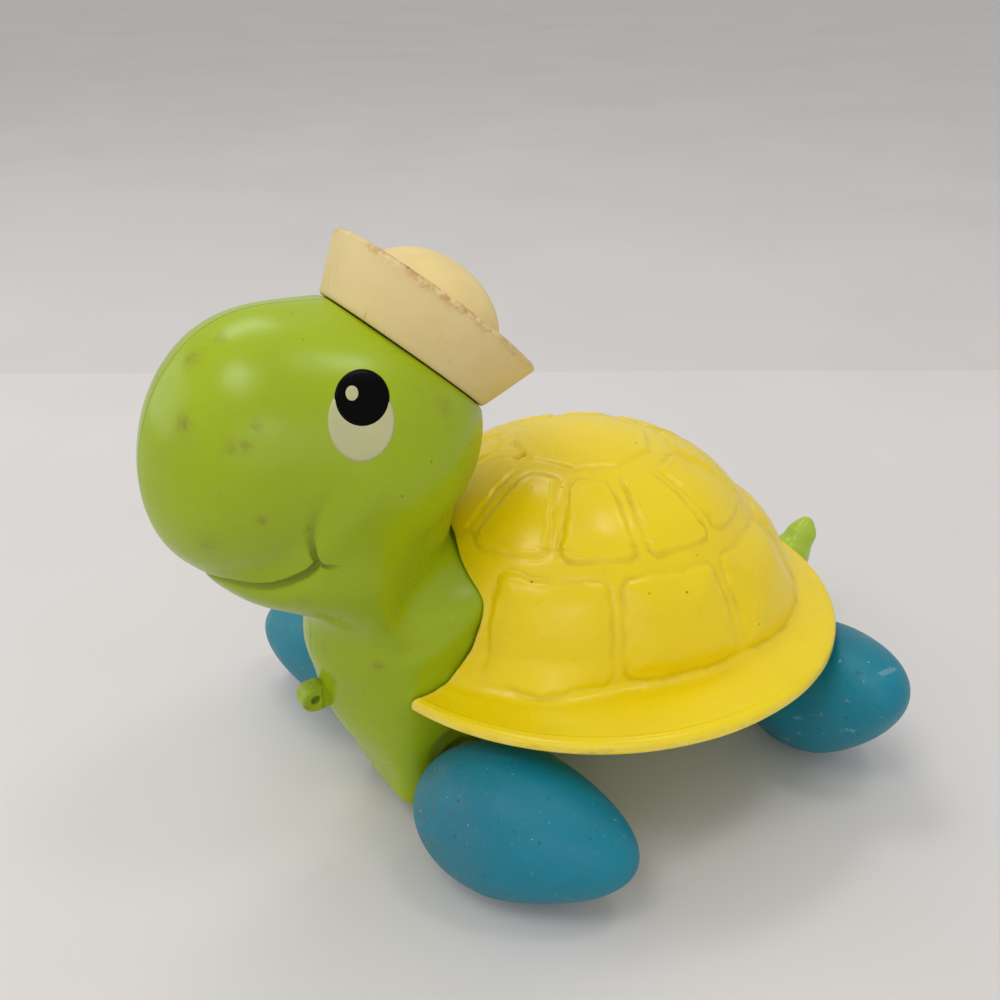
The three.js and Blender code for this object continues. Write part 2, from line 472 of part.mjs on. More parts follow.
// ------------------------------------------------- feet, hubs, axles and bushes
const eggProfile = (r, out, inn, nOut, nIn) => {
  const pts = [];
  for (let i = 0; i <= nOut; i++) {
    const s = Math.cos(Math.PI / 2 * i / nOut);
    pts.push([i === 0 ? 0 : r * Math.sqrt(Math.max(1 - Math.pow(s, FOOT_P_OUT), 0)), out * s]);
  }
  for (let i = 1; i <= nIn; i++) {
    const s = Math.sin(Math.PI / 2 * i / nIn);
    pts.push([i === nIn ? 0 : r * Math.sqrt(Math.max(1 - Math.pow(s, FOOT_P_IN), 0)), -inn * s]);
  }
  return pts;
};
const footSolid = (side, phase) => {
  const axis = new THREE.Vector3(-Math.sin(FOOT_CANT) * Math.cos(phase), Math.cos(FOOT_CANT), Math.sin(FOOT_CANT) * Math.sin(phase)).multiplyScalar(side);
  const turn = new THREE.Quaternion().setFromUnitVectors(new THREE.Vector3(0, 1, 0), axis);
  const skin = solid(lathe(eggProfile(FOOT_R, FOOT_OUT, FOOT_IN, 7, 5), 16).applyQuaternion(turn));
  const hollow = solid(lathe(eggProfile(FOOT_R - FOOT_WALL, FOOT_OUT - 4.5, FOOT_IN - 4, 4, 3), 10).applyQuaternion(turn));
  const y = (v) => side * (v - FOOT_Y);
  const bar = (r, v0, v1, sides) => solid(discY(r, Math.min(y(v0), y(v1)), Math.max(y(v0), y(v1)), sides));
  const socket = bar(HUB_R + 3.3, 20, HUB_Y2 + 1.2, 14).intersect(skin);
  return skin.subtract(hollow).add(socket)
    .subtract(bar(HUB_R + 0.35, 10, HUB_Y2 + 4, 14))
    .subtract(bar(HUB_FLANGE_R + 0.4, 10, HUB_Y1 + 0.3, 16));
};
const ring = (points, sides, side) => {
  const g = lathe(points, sides);
  if (side < 0) g.applyMatrix4(new THREE.Matrix4().makeRotationX(Math.PI));
  return surface(solid(g));
};
const hubProfile = [[0, HUB_Y2], [HUB_R - 0.6, HUB_Y2], [HUB_R, HUB_Y2 - 0.8], [HUB_R, HUB_Y1], [HUB_FLANGE_R, HUB_Y1], [HUB_FLANGE_R, HUB_Y0], [AXLE_R + 0.3, HUB_Y0], [AXLE_R + 0.3, HUB_BORE_END], [0, HUB_BORE_END]];
const washerProfile = [[AXLE_R + 0.35, WASHER_Y0], [WASHER_R, WASHER_Y0], [WASHER_R, WASHER_Y1], [AXLE_R + 0.35, WASHER_Y1], [AXLE_R + 0.35, WASHER_Y0]];
const bushProfile = [[BUSH_BORE, BUSH_Y0], [BUSH_R, BUSH_Y0], [BUSH_R, BUSH_Y1], [BUSH_FLANGE_R, BUSH_Y1], [BUSH_FLANGE_R, BUSH_Y2], [BUSH_BORE, BUSH_Y2], [BUSH_BORE, BUSH_Y0]];
const sets = [['front', FRONT_AXLE_X, FRONT_AXLE_Z, FRONT_PHASE], ['rear', REAR_AXLE_X, REAR_AXLE_Z, REAR_PHASE]];
for (const [end, x, z, phase] of sets) {
  const wheelset = new THREE.Group();
  wheelset.position.set(x, 0, z);
  group.add(wheelset);
  place(`axle_${end}`, new THREE.CylinderGeometry(AXLE_R, AXLE_R, 2 * AXLE_HALF, 14), STEEL.clone(), wheelset);
  for (const [hand, side] of [['left', 1], ['right', -1]]) {
    const foot = place(`foot_${end}_${hand}`, surface(footSolid(side, phase)), BLUE.clone(), wheelset);
    foot.position.set(0, side * FOOT_Y, 0);
    place(`hub_${end}_${hand}`, ring(hubProfile, 14, side), HARD.clone(), wheelset);
    place(`washer_${end}_${hand}`, ring(washerProfile, 14, side), STEEL.clone(), wheelset);
    const bush = place(`bush_${end}_${hand}`, ring(bushProfile, 14, side), NYLON.clone());
    bush.position.set(x, 0, z);
  }
}

group.position.x = X_SHIFT;
group.updateMatrixWorld(true);
export default group;
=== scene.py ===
import math
import bpy
import bmesh
import numpy as np
from mathutils import Matrix, Vector


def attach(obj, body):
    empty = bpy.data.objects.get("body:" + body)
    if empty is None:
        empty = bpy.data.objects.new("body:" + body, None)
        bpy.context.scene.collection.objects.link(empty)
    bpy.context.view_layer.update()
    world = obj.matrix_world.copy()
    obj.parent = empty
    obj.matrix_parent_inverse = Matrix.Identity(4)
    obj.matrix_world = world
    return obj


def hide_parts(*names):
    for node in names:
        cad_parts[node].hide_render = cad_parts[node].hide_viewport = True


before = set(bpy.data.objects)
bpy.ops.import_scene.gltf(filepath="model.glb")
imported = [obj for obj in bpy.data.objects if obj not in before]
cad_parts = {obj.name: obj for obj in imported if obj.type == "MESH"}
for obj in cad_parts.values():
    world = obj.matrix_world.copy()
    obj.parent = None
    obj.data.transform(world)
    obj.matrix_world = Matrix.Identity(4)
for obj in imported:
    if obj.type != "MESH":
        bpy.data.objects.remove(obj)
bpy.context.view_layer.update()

D = math.pi / 180
MM = 0.001
X_SHIFT = -3.05          # millimetres, as in the CAD

# ------------------------------------------------------------------ dimensions (mm)
FOOT_R, FOOT_OUT, FOOT_IN, FOOT_P_OUT, FOOT_P_IN = 24.0, 41.45, 33.98, 1.311, 2.13
FOOT_CANT, FOOT_Y = 30.0 * D, 57.6
AXLES = {"front": (48.6, 24.0, 0.0), "rear": (-81.3, 27.04, 99.0 * D)}
SNOUT = dict(x=106.36, z=143.59, a=27.77, b=35.04, c=38.85, t=0.21, ridge=9.16)
CRANIUM = dict(x=70.25, z=142.95, a=38.94, b=39.94, c=37.63, t=0.06, ridge=0)
JAW = dict(x=85.89, z=106.0, a=33.56, b=33.21, c=17.76, t=0.18, ridge=5.5)
THROAT = dict(x=75.623, z=91.009, a=25.476, b=27.978, c=11.581, t=1.078, ridge=0)
NECK = dict(x1=60.22, z1=108.08, r1=18.07, x2=61.629, z2=56.529, r2=18.777, ky=0.944)
SHOULDER = dict(x=45.345, z=84.339, a=20.162, b=28.205, c=7.615, t=-0.325, ridge=0)
FLANK = dict(x=56.412, z=75.067, a=30.625, b=25.0, c=12.0, t=-0.226, ridge=0)
CHEST = dict(x=44.89, z=47.41, a=33.43, b=24.346, c=32.34, t=-0.14, ridge=0)
KEEL_FRONT = dict(x0=10.0, x1=68.75, y=22.5, z0=7.8, z1=62.0, r=6.9)
HULL = dict(x0=-97.0, x1=40.0, w=22.3, z0=7.6, z1=54.6, n=5.0, stern=30.0)
KEEL_POST = dict(x0=-66.0, x1=30.0, y=19.0, z0=36.0, z1=67.0, r=4.0)
BELLY_Z = 8.4
DOME = dict(x=-12.01, a=68.61, b=64.09, z=120.18, m=2.319)
RIM = dict(x=-15.35, a=87.37, b=89.51, n=2.061, z=59.21, thick=3.96)
SHELL_WALL, SHELL_GAP, LIP, TORSO_FLOOR = 2.6, 0.5, 4.0, 57.4
HAT = dict(x=52.79, z=162.33, tilt=42.15 * D, r0=29.33, r1=35.77, band=18.02, crown=24.26, rise=19.78)
EYE = dict(x=89.7, z=52.0, r=4.6, hole=1.5, thick=6.4, root=73.4, face=87.1, stem_y=2.75, stem_z=4.5)
TAIL_Z = 40.5
SEAM = 0.12


# ------------------------------------------------------------------------ helpers
def new_object(name, verts, faces, smooth=True, marks=None):
    """Mesh object from points in millimetres in the modelling frame; marks are values per point that the material reads."""
    v = (np.asarray(verts, float) + np.array([X_SHIFT, 0, 0])) * MM
    me = bpy.data.meshes.new(name)
    me.from_pydata(v.tolist(), [], [list(f) for f in faces])
    me.validate()
    me.update()
    for key, values in (marks or {}).items():
        layer = me.attributes.new(key, "FLOAT", "POINT")
        layer.data.foreach_set("value", np.asarray(values, np.float32))
    if smooth:
        me.polygons.foreach_set("use_smooth", np.ones(len(me.polygons), bool))
    ob = bpy.data.objects.new(name, me)
    bpy.context.scene.collection.objects.link(ob)
    return ob


def outward(ob):
    bm = bmesh.new()
    bm.from_mesh(ob.data)
    bmesh.ops.recalc_face_normals(bm, faces=bm.faces[:])
    bm.to_mesh(ob.data)
    bm.free()
    return ob


def weld(ob, dist=1e-6):
    bm = bmesh.new()
    bm.from_mesh(ob.data)
    bmesh.ops.remove_doubles(bm, verts=bm.verts[:], dist=dist)
    bmesh.ops.dissolve_degenerate(bm, edges=bm.edges[:], dist=dist)
    bm.to_mesh(ob.data)
    bm.free()
    return ob


def sharp_edges(ob, angle=50):
    ob.data.set_sharp_from_angle(angle=angle * D)
    return ob


def smooth_step(a, b, x):
    t = np.clip((x - a) / (b - a), 0, 1)
    return t * t * (3 - 2 * t)


def hash_noise(p, scale, seed=0.0):
    """Smooth repeatable wobble in -1..1 from a few sines."""
    q = np.asarray(p) * scale + seed
    x, y, z = q[..., 0], q[..., 1], q[..., 2]
    return (np.sin(1.7 * x + 2.1 * y - 0.6 * z + 1.3) + np.sin(-2.3 * x + 0.9 * y + 1.9 * z + 4.1)
            + np.sin(0.8 * x - 2.9 * y + 1.1 * z + 2.2) + np.sin(3.1 * x + 1.4 * y + 2.6 * z + 0.4)) / 4


def surface_nets(field, low, high, step):
    """Quads on the zero level of a field sampled on a regular grid."""
    axes = [np.arange(low[i], high[i] + step, step) for i in range(3)]
    X, Y, Z = np.meshgrid(*axes, indexing="ij", sparse=False)
    F = field(X, Y, Z)
    return nets(F, np.array([a[0] for a in axes]), step)[:2]


def nets(F, origin, step):
    """Points, quads and, for each quad, the axis and grid point of the edge that it crosses."""
    s = F < 0
    n = F.shape
    corners = [(i, j, k) for i in (0, 1) for j in (0, 1) for k in (0, 1)]

    def at(A, c):
        return A[c[0]:n[0] - 1 + c[0], c[1]:n[1] - 1 + c[1], c[2]:n[2] - 1 + c[2]]
    count = sum(at(s, c).astype(np.int8) for c in corners)
    act = (count > 0) & (count < 8)
    index = -np.ones(act.shape, np.int64)
    index[act] = np.arange(int(act.sum()))
    cells = np.argwhere(act)
    acc, num = np.zeros((len(cells), 3)), np.zeros(len(cells))
    values = {c: at(F, c)[act] for c in corners}
    for a in corners:
        for k in range(3):
            if a[k]:
                continue
            b = tuple(1 if i == k else a[i] for i in range(3))
            fa, fb = values[a], values[b]
            m = (fa < 0) != (fb < 0)
            t = fa[m] / (fa[m] - fb[m])
            base = np.tile(np.array(a, float), (int(m.sum()), 1))
            base[:, k] += t
            acc[m] += base
            num[m] += 1
    verts = origin + step * (cells + acc / num[:, None])
    quads, tags = [], []
    for k in range(3):
        lo, hi = [slice(None)] * 3, [slice(None)] * 3
        lo[k], hi[k] = slice(0, -1), slice(1, None)
        A, B = s[tuple(lo)], s[tuple(hi)]
        p = np.argwhere(A != B)
        b1, b2 = [(1, 2), (2, 0), (0, 1)][k]
        ok = (p[:, b1] > 0) & (p[:, b2] > 0) & (p[:, b1] < n[b1] - 1) & (p[:, b2] < n[b2] - 1)
        p = p[ok]
        e1, e2 = np.eye(3, dtype=int)[b1], np.eye(3, dtype=int)[b2]
        q = np.stack([index[tuple((p - e1 - e2).T)], index[tuple((p - e2).T)], index[tuple(p.T)], index[tuple((p - e1).T)]], 1)
        flip = ~A[tuple(p.T)]
        q[flip] = q[flip][:, ::-1]
        quads.append(q)
        tags.append(np.concatenate([np.full((len(p), 1), k), p], 1))
    return verts, np.concatenate(quads), np.concatenate(tags)


def gradient(field, P, e=0.05):
    g = np.zeros_like(P)
    for k in range(3):
        d = np.zeros(3)
        d[k] = e
        a, b = P + d, P - d
        g[:, k] = (field(a[:, 0], a[:, 1], a[:, 2]) - field(b[:, 0], b[:, 1], b[:, 2])) / (2 * e)
    return g


def settle(field, P, rounds=3, limit=0.8):
    """Moves points onto the zero level of a field."""
    for _ in range(rounds):
        f = field(P[:, 0], P[:, 1], P[:, 2])
        g = gradient(field, P)
        d = f[:, None] * g / np.maximum((g * g).sum(1, keepdims=True), 1e-4)
        length = np.linalg.norm(d, axis=1, keepdims=True)
        P = P - d * np.minimum(1, limit / np.maximum(length, 1e-9))
    return P


def lathe(profile, sides, origin=(0, 0, 0), axis=(0, 1, 0), start=(1, 0, 0)):
    """Closed surface of revolution; profile is [(radius, along)] from axis to axis or a closed loop."""
    ax = np.array(axis, float) / np.linalg.norm(axis)
    e1 = np.array(start, float) - np.dot(start, ax) * ax
    e1 /= np.linalg.norm(e1)
    e2 = np.cross(ax, e1)
    pr = [tuple(p) for p in profile]
    loop = pr[0][0] > 1e-6
    verts, rings = [], []
    t = np.linspace(0, 2 * np.pi, sides, endpoint=False)
    for r, h in pr:
        if r < 1e-6:
            rings.append([len(verts)])
            verts.append(np.array(origin) + h * ax)
        else:
            rings.append(list(range(len(verts), len(verts) + sides)))
            verts.extend(np.array(origin) + h * ax + r * (np.cos(t)[:, None] * e1 + np.sin(t)[:, None] * e2))
    faces = []
    pairs = list(zip(rings[:-1], rings[1:])) + ([(rings[-1], rings[0])] if loop else [])
    for a, b in pairs:
        for i in range(sides):
            j = (i + 1) % sides
            if len(a) == 1 and len(b) == 1:
                continue
            if len(a) == 1:
                faces.append((a[0], b[j], b[i]))
            elif len(b) == 1:
                faces.append((a[i], a[j], b[0]))
            else:
                faces.append((a[i], a[j], b[j], b[i]))
    return np.array(verts), faces


def rounded(points, radius, steps=4, closed=False):
    """Polyline with its inner corners rounded."""
    P = [np.array(p, float) for p in points]
    out = []
    n = len(P)
    for i in range(n):
        if not closed and i in (0, n - 1):
            out.append(P[i])
            continue
        a, b, c = P[i - 1], P[i], P[(i + 1) % n]
        r = radius[i] if hasattr(radius, "__len__") else radius
        u, w = a - b, c - b
        lu, lw = np.linalg.norm(u), np.linalg.norm(w)
        k = min(r, 0.45 * lu, 0.45 * lw)
        if k < 0.02:
            out.append(b)
            continue
        p, q = b + u / lu * k, b + w / lw * k
        for t in np.linspace(0, 1, steps + 1):
            out.append((1 - t) ** 2 * p + 2 * t * (1 - t) * b + t * t * q)
    return [tuple(p) for p in out]


# ------------------------------------------------------------- outside of the body
def ellipsoid(e, x, y, z):
    dx, dz = x - e["x"], z - e["z"]
    yy = np.sqrt(y * y + 4) - 2 + e["ridge"] if e["ridge"] > 0 else y
    c, s = math.cos(e["t"]), math.sin(e["t"])
    u, w = c * dx + s * dz, -s * dx + c * dz
    k = np.sqrt((u / e["a"]) ** 2 + (yy / e["b"]) ** 2 + (w / e["c"]) ** 2)
    g = np.sqrt((u / e["a"] ** 2) ** 2 + (yy / e["b"] ** 2) ** 2 + (w / e["c"] ** 2) ** 2) + 1e-9
    return k * (k - 1) / g


def blend(a, b, k):
    h = np.maximum(k - np.abs(a - b), 0) / k
    return np.minimum(a, b) - h * h * k * 0.25


def cut(a, b, k):
    return -blend(-a, b, k)


def neck_cone(x, y, z):
    dx, dz = NECK["x2"] - NECK["x1"], NECK["z2"] - NECK["z1"]
    t = np.clip(((x - NECK["x1"]) * dx + (z - NECK["z1"]) * dz) / (dx * dx + dz * dz), 0, 1)
    t = 0.35 * t * t * (3 - 2 * t) + 0.65 * t
    return np.sqrt((x - NECK["x1"] - t * dx) ** 2 + (y / NECK["ky"]) ** 2 + (z - NECK["z1"] - t * dz) ** 2) - (NECK["r1"] + (NECK["r2"] - NECK["r1"]) * t)


def round_box(b, x, y, z):
    qx = np.abs(x - (b["x0"] + b["x1"]) / 2) - ((b["x1"] - b["x0"]) / 2 - b["r"])
    qy = np.abs(y) - (b["y"] - b["r"])
    qz = np.abs(z - (b["z0"] + b["z1"]) / 2) - ((b["z1"] - b["z0"]) / 2 - b["r"])
    return np.sqrt(np.maximum(qx, 0) ** 2 + np.maximum(qy, 0) ** 2 + np.maximum(qz, 0) ** 2) + np.minimum(np.maximum(np.maximum(qx, qy), qz), 0) - b["r"]


def column(x, y, z):
    d = blend(ellipsoid(SNOUT, x, y, z), ellipsoid(CRANIUM, x, y, z), 26)
    d = blend(d, ellipsoid(JAW, x, y, z), 6 + 14 * smooth_step(108, 94, x))
    d = blend(d, ellipsoid(THROAT, x, y, z), 11.232)
    d = blend(d, neck_cone(x, y, z), 14)
    d = blend(d, ellipsoid(SHOULDER, x, y, z), 13.083)
    d = blend(d, ellipsoid(FLANK, x, y, z), 15.299)
    d = blend(d, ellipsoid(CHEST, x, y, z), 22)
    return blend(d, round_box(KEEL_FRONT, x, y, z), 14)


def belly(x, y, z):
    zm, h = (HULL["z0"] + HULL["z1"]) / 2, (HULL["z1"] - HULL["z0"]) / 2
    back = np.clip((HULL["x0"] + HULL["stern"] - x) / HULL["stern"], 0, 1)
    s = np.maximum(1 - back ** 2.6, 1e-4) ** (1 / 2.6)
    zc = TAIL_Z + (zm - TAIL_Z) * s * s
    k = (np.abs(y / (HULL["w"] * s)) ** HULL["n"] + np.abs((z - zc) / (h * s)) ** HULL["n"] + 1e-12) ** (1 / HULL["n"])
    d = (k - 1) * HULL["w"] * s
    return np.maximum(np.maximum(d, x - HULL["x1"]), HULL["x0"] - x)


def fuller(angle, z):
    """How far the dome stands out over the hind feet."""
    turn = np.abs(angle)
    return 5.0 * smooth_step(99, 82, z) * smooth_step(75 * D, 150 * D, turn) + 4.0 * smooth_step(86, 66, z) * smooth_step(58 * D, 118 * D, turn)


def torso(x, y, z):
    i = SHELL_WALL + SHELL_GAP
    dx, far = x - DOME["x"], np.sqrt((x - DOME["x"]) ** 2 + y * y) + 1e-6
    k = 1 - fuller(np.arctan2(y, dx), z) / np.maximum(far, 60.0)
    rho = np.sqrt((dx * k / (DOME["a"] - i)) ** 2 + (y * k / (DOME["b"] - i)) ** 2)
    zz = np.maximum(z - RIM["z"], 0) / (DOME["z"] - i - RIM["z"])
    k = (rho ** DOME["m"] + zz ** DOME["m"] + 1e-12) ** (1 / DOME["m"])
    return np.maximum((k - 1) * 52, TORSO_FLOOR - z)


def sweep_profile():
    """Largest radius about the axle that a turning foot reaches, for each distance from the mid-plane."""
    t = np.linspace(-FOOT_IN, FOOT_OUT, 400)[:, None]
    r = FOOT_R * np.sqrt(np.maximum(1 - np.where(t < 0, np.abs(t / FOOT_IN) ** FOOT_P_IN, np.abs(t / FOOT_OUT) ** FOOT_P_OUT), 0))
    f = np.linspace(0, np.pi, 120)[None, :]
    y = t * math.cos(FOOT_CANT) + r * np.cos(f) * math.sin(FOOT_CANT) + FOOT_Y
    q = np.hypot(-t * math.sin(FOOT_CANT) + r * np.cos(f) * math.cos(FOOT_CANT), r * np.sin(f))
    ys = np.arange(20, 60, 0.5)
    rad = np.array([q[(y < v + 1.7)].max() if (y < v + 1.7).any() else -8.0 for v in ys])
    return ys, rad


SWEEP_Y, SWEEP_R = sweep_profile()
HAT_AXIS = np.array([-math.sin(HAT["tilt"]), 0, math.cos(HAT["tilt"])])
HAT_BASE = np.array([HAT["x"], 0, HAT["z"]])

# moulded lines of the face: points on the left cheek, half width and depth
MOUTH = np.array([(120.3, 0, 107.4), (119.9, 3.0, 107.7), (118.9, 5.8, 108.0), (117.6, 8.8, 108.2), (115.6, 12.6, 108.5), (113.0, 16.0, 108.6), (110.5, 18.8, 108.7), (107.0, 22.1, 109.4), (103.3, 25.1, 111.2), (100.5, 27.5, 113.2), (98.6, 29.0, 114.6), (96.9, 30.2, 116.6), (96.1, 30.7, 117.9)])
CREASE_UP = np.array([(96.1, 30.7, 117.9), (97.0, 30.6, 120.7), (97.6, 31.0, 124.5), (97.7, 32.2, 129.1), (96.8, 34.0, 134.3), (94.8, 35.4, 138.9), (91.6, 36.6, 142.4), (87.8, 37.5, 144.7), (83.4, 38.3, 146.6)])
CREASE_BACK = np.array([(96.1, 30.7, 117.9), (94.1, 31.4, 116.8), (91.6, 31.8, 115.9), (88.7, 32.0, 115.1)])
CHEEK = np.array([(92.9, 32.5, 123.8), (87.8, 35.6, 131.6), (81.3, 38.7, 140.3)])


def line_distance(P, line):
    """(distance, share along) from points to a polyline."""
    best, where = np.full(len(P), 1e9), np.zeros(len(P))
    seg = np.linalg.norm(np.diff(line, axis=0), axis=1)
    total, run = seg.sum(), 0.0
    for a, b, l in zip(line[:-1], line[1:], seg):
        t = np.clip(((P - a) @ (b - a)) / (l * l), 0, 1)
        d = np.linalg.norm(P - a - t[:, None] * (b - a), axis=1)
        m = d < best
        best[m], where[m] = d[m], (run + t[m] * l) / total
        run += l
    return best, np.clip(where, 0, 1)


def sunk(line, depth, end=1.0):
    """The line moved into the plastic, so that its groove is deep and keeps steep sides."""
    g = gradient(column, line.copy())
    g /= np.linalg.norm(g, axis=1, keepdims=True)
    g[line[:, 1] == 0, 1] = 0
    return line - g * depth * np.linspace(1, end, len(line))[:, None]


MOUTH_IN, CREASE_UP_IN, CREASE_BACK_IN = sunk(MOUTH, 0.9), sunk(CREASE_UP, 0.8, 0.0), sunk(CREASE_BACK, 0.9, 0.0)


def face_lines(x, y, z):
    """Depth of the moulded lines, in millimetres, on either cheek."""
    shape = np.shape(x)
    P = np.stack([np.ravel(x), np.abs(np.ravel(y)), np.ravel(z)], 1)
    out = np.zeros(len(P))
    near = (P[:, 0] > 66) & (P[:, 0] < 130) & (P[:, 2] > 96) & (P[:, 2] < 162) & (P[:, 1] < 52)
    Q = P[near]
    if len(Q):
        d, t = line_distance(Q, MOUTH_IN)
        v = 1.75 * np.exp(-(d / 0.85) ** 2) + 0.45 * np.exp(-(d / 2.6) ** 2)
        d, t = line_distance(Q, CREASE_UP_IN)
        v = np.maximum(v, (1.35 * (1 - t) ** 1.7 + 0.22 * (1 - t)) * np.exp(-(d / (0.95 + 2.9 * t)) ** 2))
        d, t = line_distance(Q, CREASE_BACK_IN)
        v = np.maximum(v, 1.5 * (1 - t) ** 1.2 * np.exp(-(d / 0.85) ** 2))
        d, t = line_distance(Q, CHEEK)
        out[near] = v - 0.95 * np.exp(-(d / 6.5) ** 2)
    return out.reshape(shape)


def body_field(x, y, z):
    d = column(x, y, z) + face_lines(x, y, z)
    d = blend(d, belly(x, y, z), 3.0)
    d = np.minimum(d, round_box(KEEL_POST, x, y, z))
    d = blend(d, torso(x, y, z), 1.0)
    # seat of the hat
    dot = (x - HAT_BASE[0]) * HAT_AXIS[0] + (z - HAT_BASE[2]) * HAT_AXIS[2]
    d = cut(d, -dot + 0 * d, 1.2)
    ay = np.abs(y)
    for ax, az, _ in AXLES.values():
        q = np.sqrt((x - ax) ** 2 + (z - az) ** 2)
        d = np.maximum(d, np.interp(ay, SWEEP_Y, SWEEP_R) + 1.0 - q)
        d = np.maximum(d, -np.maximum(q - 9.7, 22.55 - ay))
        d = np.minimum(d, np.maximum(q - 8.2, ay - 22.55))
    return np.maximum(d, BELLY_Z - z)


def body_half():
    """Left half of the body as an open skin: its rim lies on the plane y = SEAM."""
    step = 1.0
    lo, hi = np.array([-102.0, SEAM, 6.5]), np.array([136.0, 64.0, 185.0])
    axes = [np.arange(lo[i], hi[i] + step, step) for i in range(3)]
    X, Y, Z = np.meshgrid(*axes, indexing="ij")
    F = body_field(X, Y, Z)
    real0 = F[:, 0, :].copy()
    F[:, 0, :] = 1e-7
    P, quads, tags = nets(F, lo, step)
    cap = (tags[:, 0] == 1) & (tags[:, 2] == 0)
    cap[cap] = real0[tags[cap, 1], tags[cap, 3]] < 0
    rim, kept = np.zeros(len(P), bool), np.zeros(len(P), bool)
    rim[np.unique(quads[cap])] = True
    kept[np.unique(quads[~cap])] = True
    rim &= kept
    free = kept & ~rim
    P[free] = settle(body_field, P[free])
    P[free, 1] = np.maximum(P[free, 1], SEAM + 0.02)
    P[rim, 1] = SEAM
    q = P[rim]
    for _ in range(5):
        f = body_field(q[:, 0], q[:, 1], q[:, 2])
        g = gradient(body_field, q)
        g[:, 1] = 0
        q = q - np.clip(f[:, None] * g / np.maximum((g * g).sum(1, keepdims=True), 1e-3), -0.8, 0.8)
    P[rim] = q
    return refined(P, quads[~cap])


def refined(P, quads):
    """Finer faces along the moulded lines of the face; returns points and faces."""
    used = np.unique(quads)
    remap = -np.ones(len(P), np.int64)
    remap[used] = np.arange(len(used))
    bm = bmesh.new()
    vs = [bm.verts.new(p) for p in P[used].tolist()]
    for q in remap[quads].tolist():
        bm.faces.new([vs[i] for i in q])
    for reach in (3.4, 2.2):
        bm.verts.index_update()
        V = np.array([v.co for v in bm.verts])
        d = np.min([line_distance(V, l)[0] for l in (MOUTH, CREASE_UP[:6], CREASE_BACK)], axis=0)
        edges = [e for e in bm.edges if d[e.verts[0].index] < reach and d[e.verts[1].index] < reach]
        bmesh.ops.subdivide_edges(bm, edges=edges, cuts=1, use_grid_fill=True)
    bm.verts.index_update()
    V = np.array([v.co for v in bm.verts])
    d = np.min([line_distance(V, l)[0] for l in (MOUTH, CREASE_UP, CREASE_BACK)], axis=0)
    rim = V[:, 1] < SEAM + 0.004
    near = (d < 5.0) & ~rim
    V[near] = settle(body_field, V[near], 4, 0.6)
    V[near, 1] = np.maximum(V[near, 1], SEAM + 0.02)
    V[rim, 1] = SEAM
    near = (d < 5.0) & rim
    q = V[near]
    for _ in range(5):
        f = body_field(q[:, 0], q[:, 1], q[:, 2])
        g = gradient(body_field, q)
        g[:, 1] = 0
        q = q - np.clip(f[:, None] * g / np.maximum((g * g).sum(1, keepdims=True), 1e-3), -0.5, 0.5)
    V[near] = q
    faces = [[v.index for v in f.verts] for f in bm.faces]
    bm.free()
    return V, faces


# old marks on the plastic: place, radius and strength
STAINS = [(123.7, 14.3, 160.5, 2.0, 0.9), (117.4, 6.3, 174.1, 2.6, 0.55), (112.1, 27.4, 156.0, 1.5, 0.8), (115.4, 25.4, 156.0, 2.0, 0.5), (108.5, 28.0, 161.2, 1.6, 0.7),
          (122.5, 18.9, 126.0, 3.0, 0.45), (110.4, 29.8, 135.2, 1.3, 0.8), (97.9, 32.3, 129.5, 0.9, 1.0), (76.4, 23.1, 72.7, 1.7, 0.8), (56.8, 34.2, 157.4, 3.2, 0.45),
          (104.0, 31.0, 149.0, 1.4, 0.35), (118.5, 22.0, 141.0, 1.8, 0.3), (80.0, 24.5, 100.5, 3.4, 0.4), (86.2, 9.0, 62.0, 1.6, 0.4), (120.0, -12.0, 158.0, 2.2, 0.6), (100.0, -31.0, 150.0, 2.0, 0.5), (84.0, -33.0, 125.0, 2.6, 0.4), (74.0, -24.0, 80.0, 2.0, 0.5)]


def stains(V):
    out = np.zeros(len(V))
    wob = 1 + 0.45 * hash_noise(V, 1.1, 4.0)
    for x, y, z, r, s in STAINS:
        out = np.maximum(out, s * np.exp(-(np.linalg.norm(V - np.array([x, y, z]), axis=1) * wob / r) ** 2))
    return out


def face_crease_shade_and_dirt(V):
    """Dark in the depth of the mouth and of the creases beside it: painted shade in the grooves, together with some
    dirt.
    """
    P = np.abs(V) * np.array([0, 1, 0]) + V * np.array([1, 0, 1])
    d, t = line_distance(P, MOUTH_IN)
    out = (0.55 + 0.45 * smooth_step(0.35, 0.95, t)) * np.exp(-(d / 1.05) ** 2)
    d, t = line_distance(P, CREASE_UP_IN)
    out = np.maximum(out, 0.85 * (1 - t) ** 2.6 * np.exp(-(d / 0.9) ** 2))
    d, t = line_distance(P, CREASE_BACK_IN)
    return np.maximum(out, 0.85 * (1 - t) ** 1.3 * np.exp(-(d / 0.9) ** 2))


def build_body():
    P, skin = body_half()
    out = []
    for name, sign in (("body_shell_left", 1), ("body_shell_right", -1)):
        V = P * np.array([1, sign, 1])
        # the line mark darkens the face grooves: painted shade, with some dirt
        ob = new_object(name, V, skin if sign > 0 else [f[::-1] for f in skin], marks={"stain": stains(V), "line": face_crease_shade_and_dirt(V)})
        bm = bmesh.new()
        bm.from_mesh(ob.data)
        rim = [e for e in bm.edges if e.is_boundary]
        made = bmesh.ops.holes_fill(bm, edges=rim, sides=0)["faces"]
        for f in made:
            f.smooth = False
            for e in f.edges:
                e.smooth = False
        bmesh.ops.recalc_face_normals(bm, faces=bm.faces[:])
        bm.to_mesh(ob.data)
        bm.free()
        out.append(ob)
    return out


# ---------------------------------------------------------------------- the shell
def super_radius(c, s, a, b, n):
    return (np.abs(c / a) ** n + np.abs(s / b) ** n) ** (-1 / n)


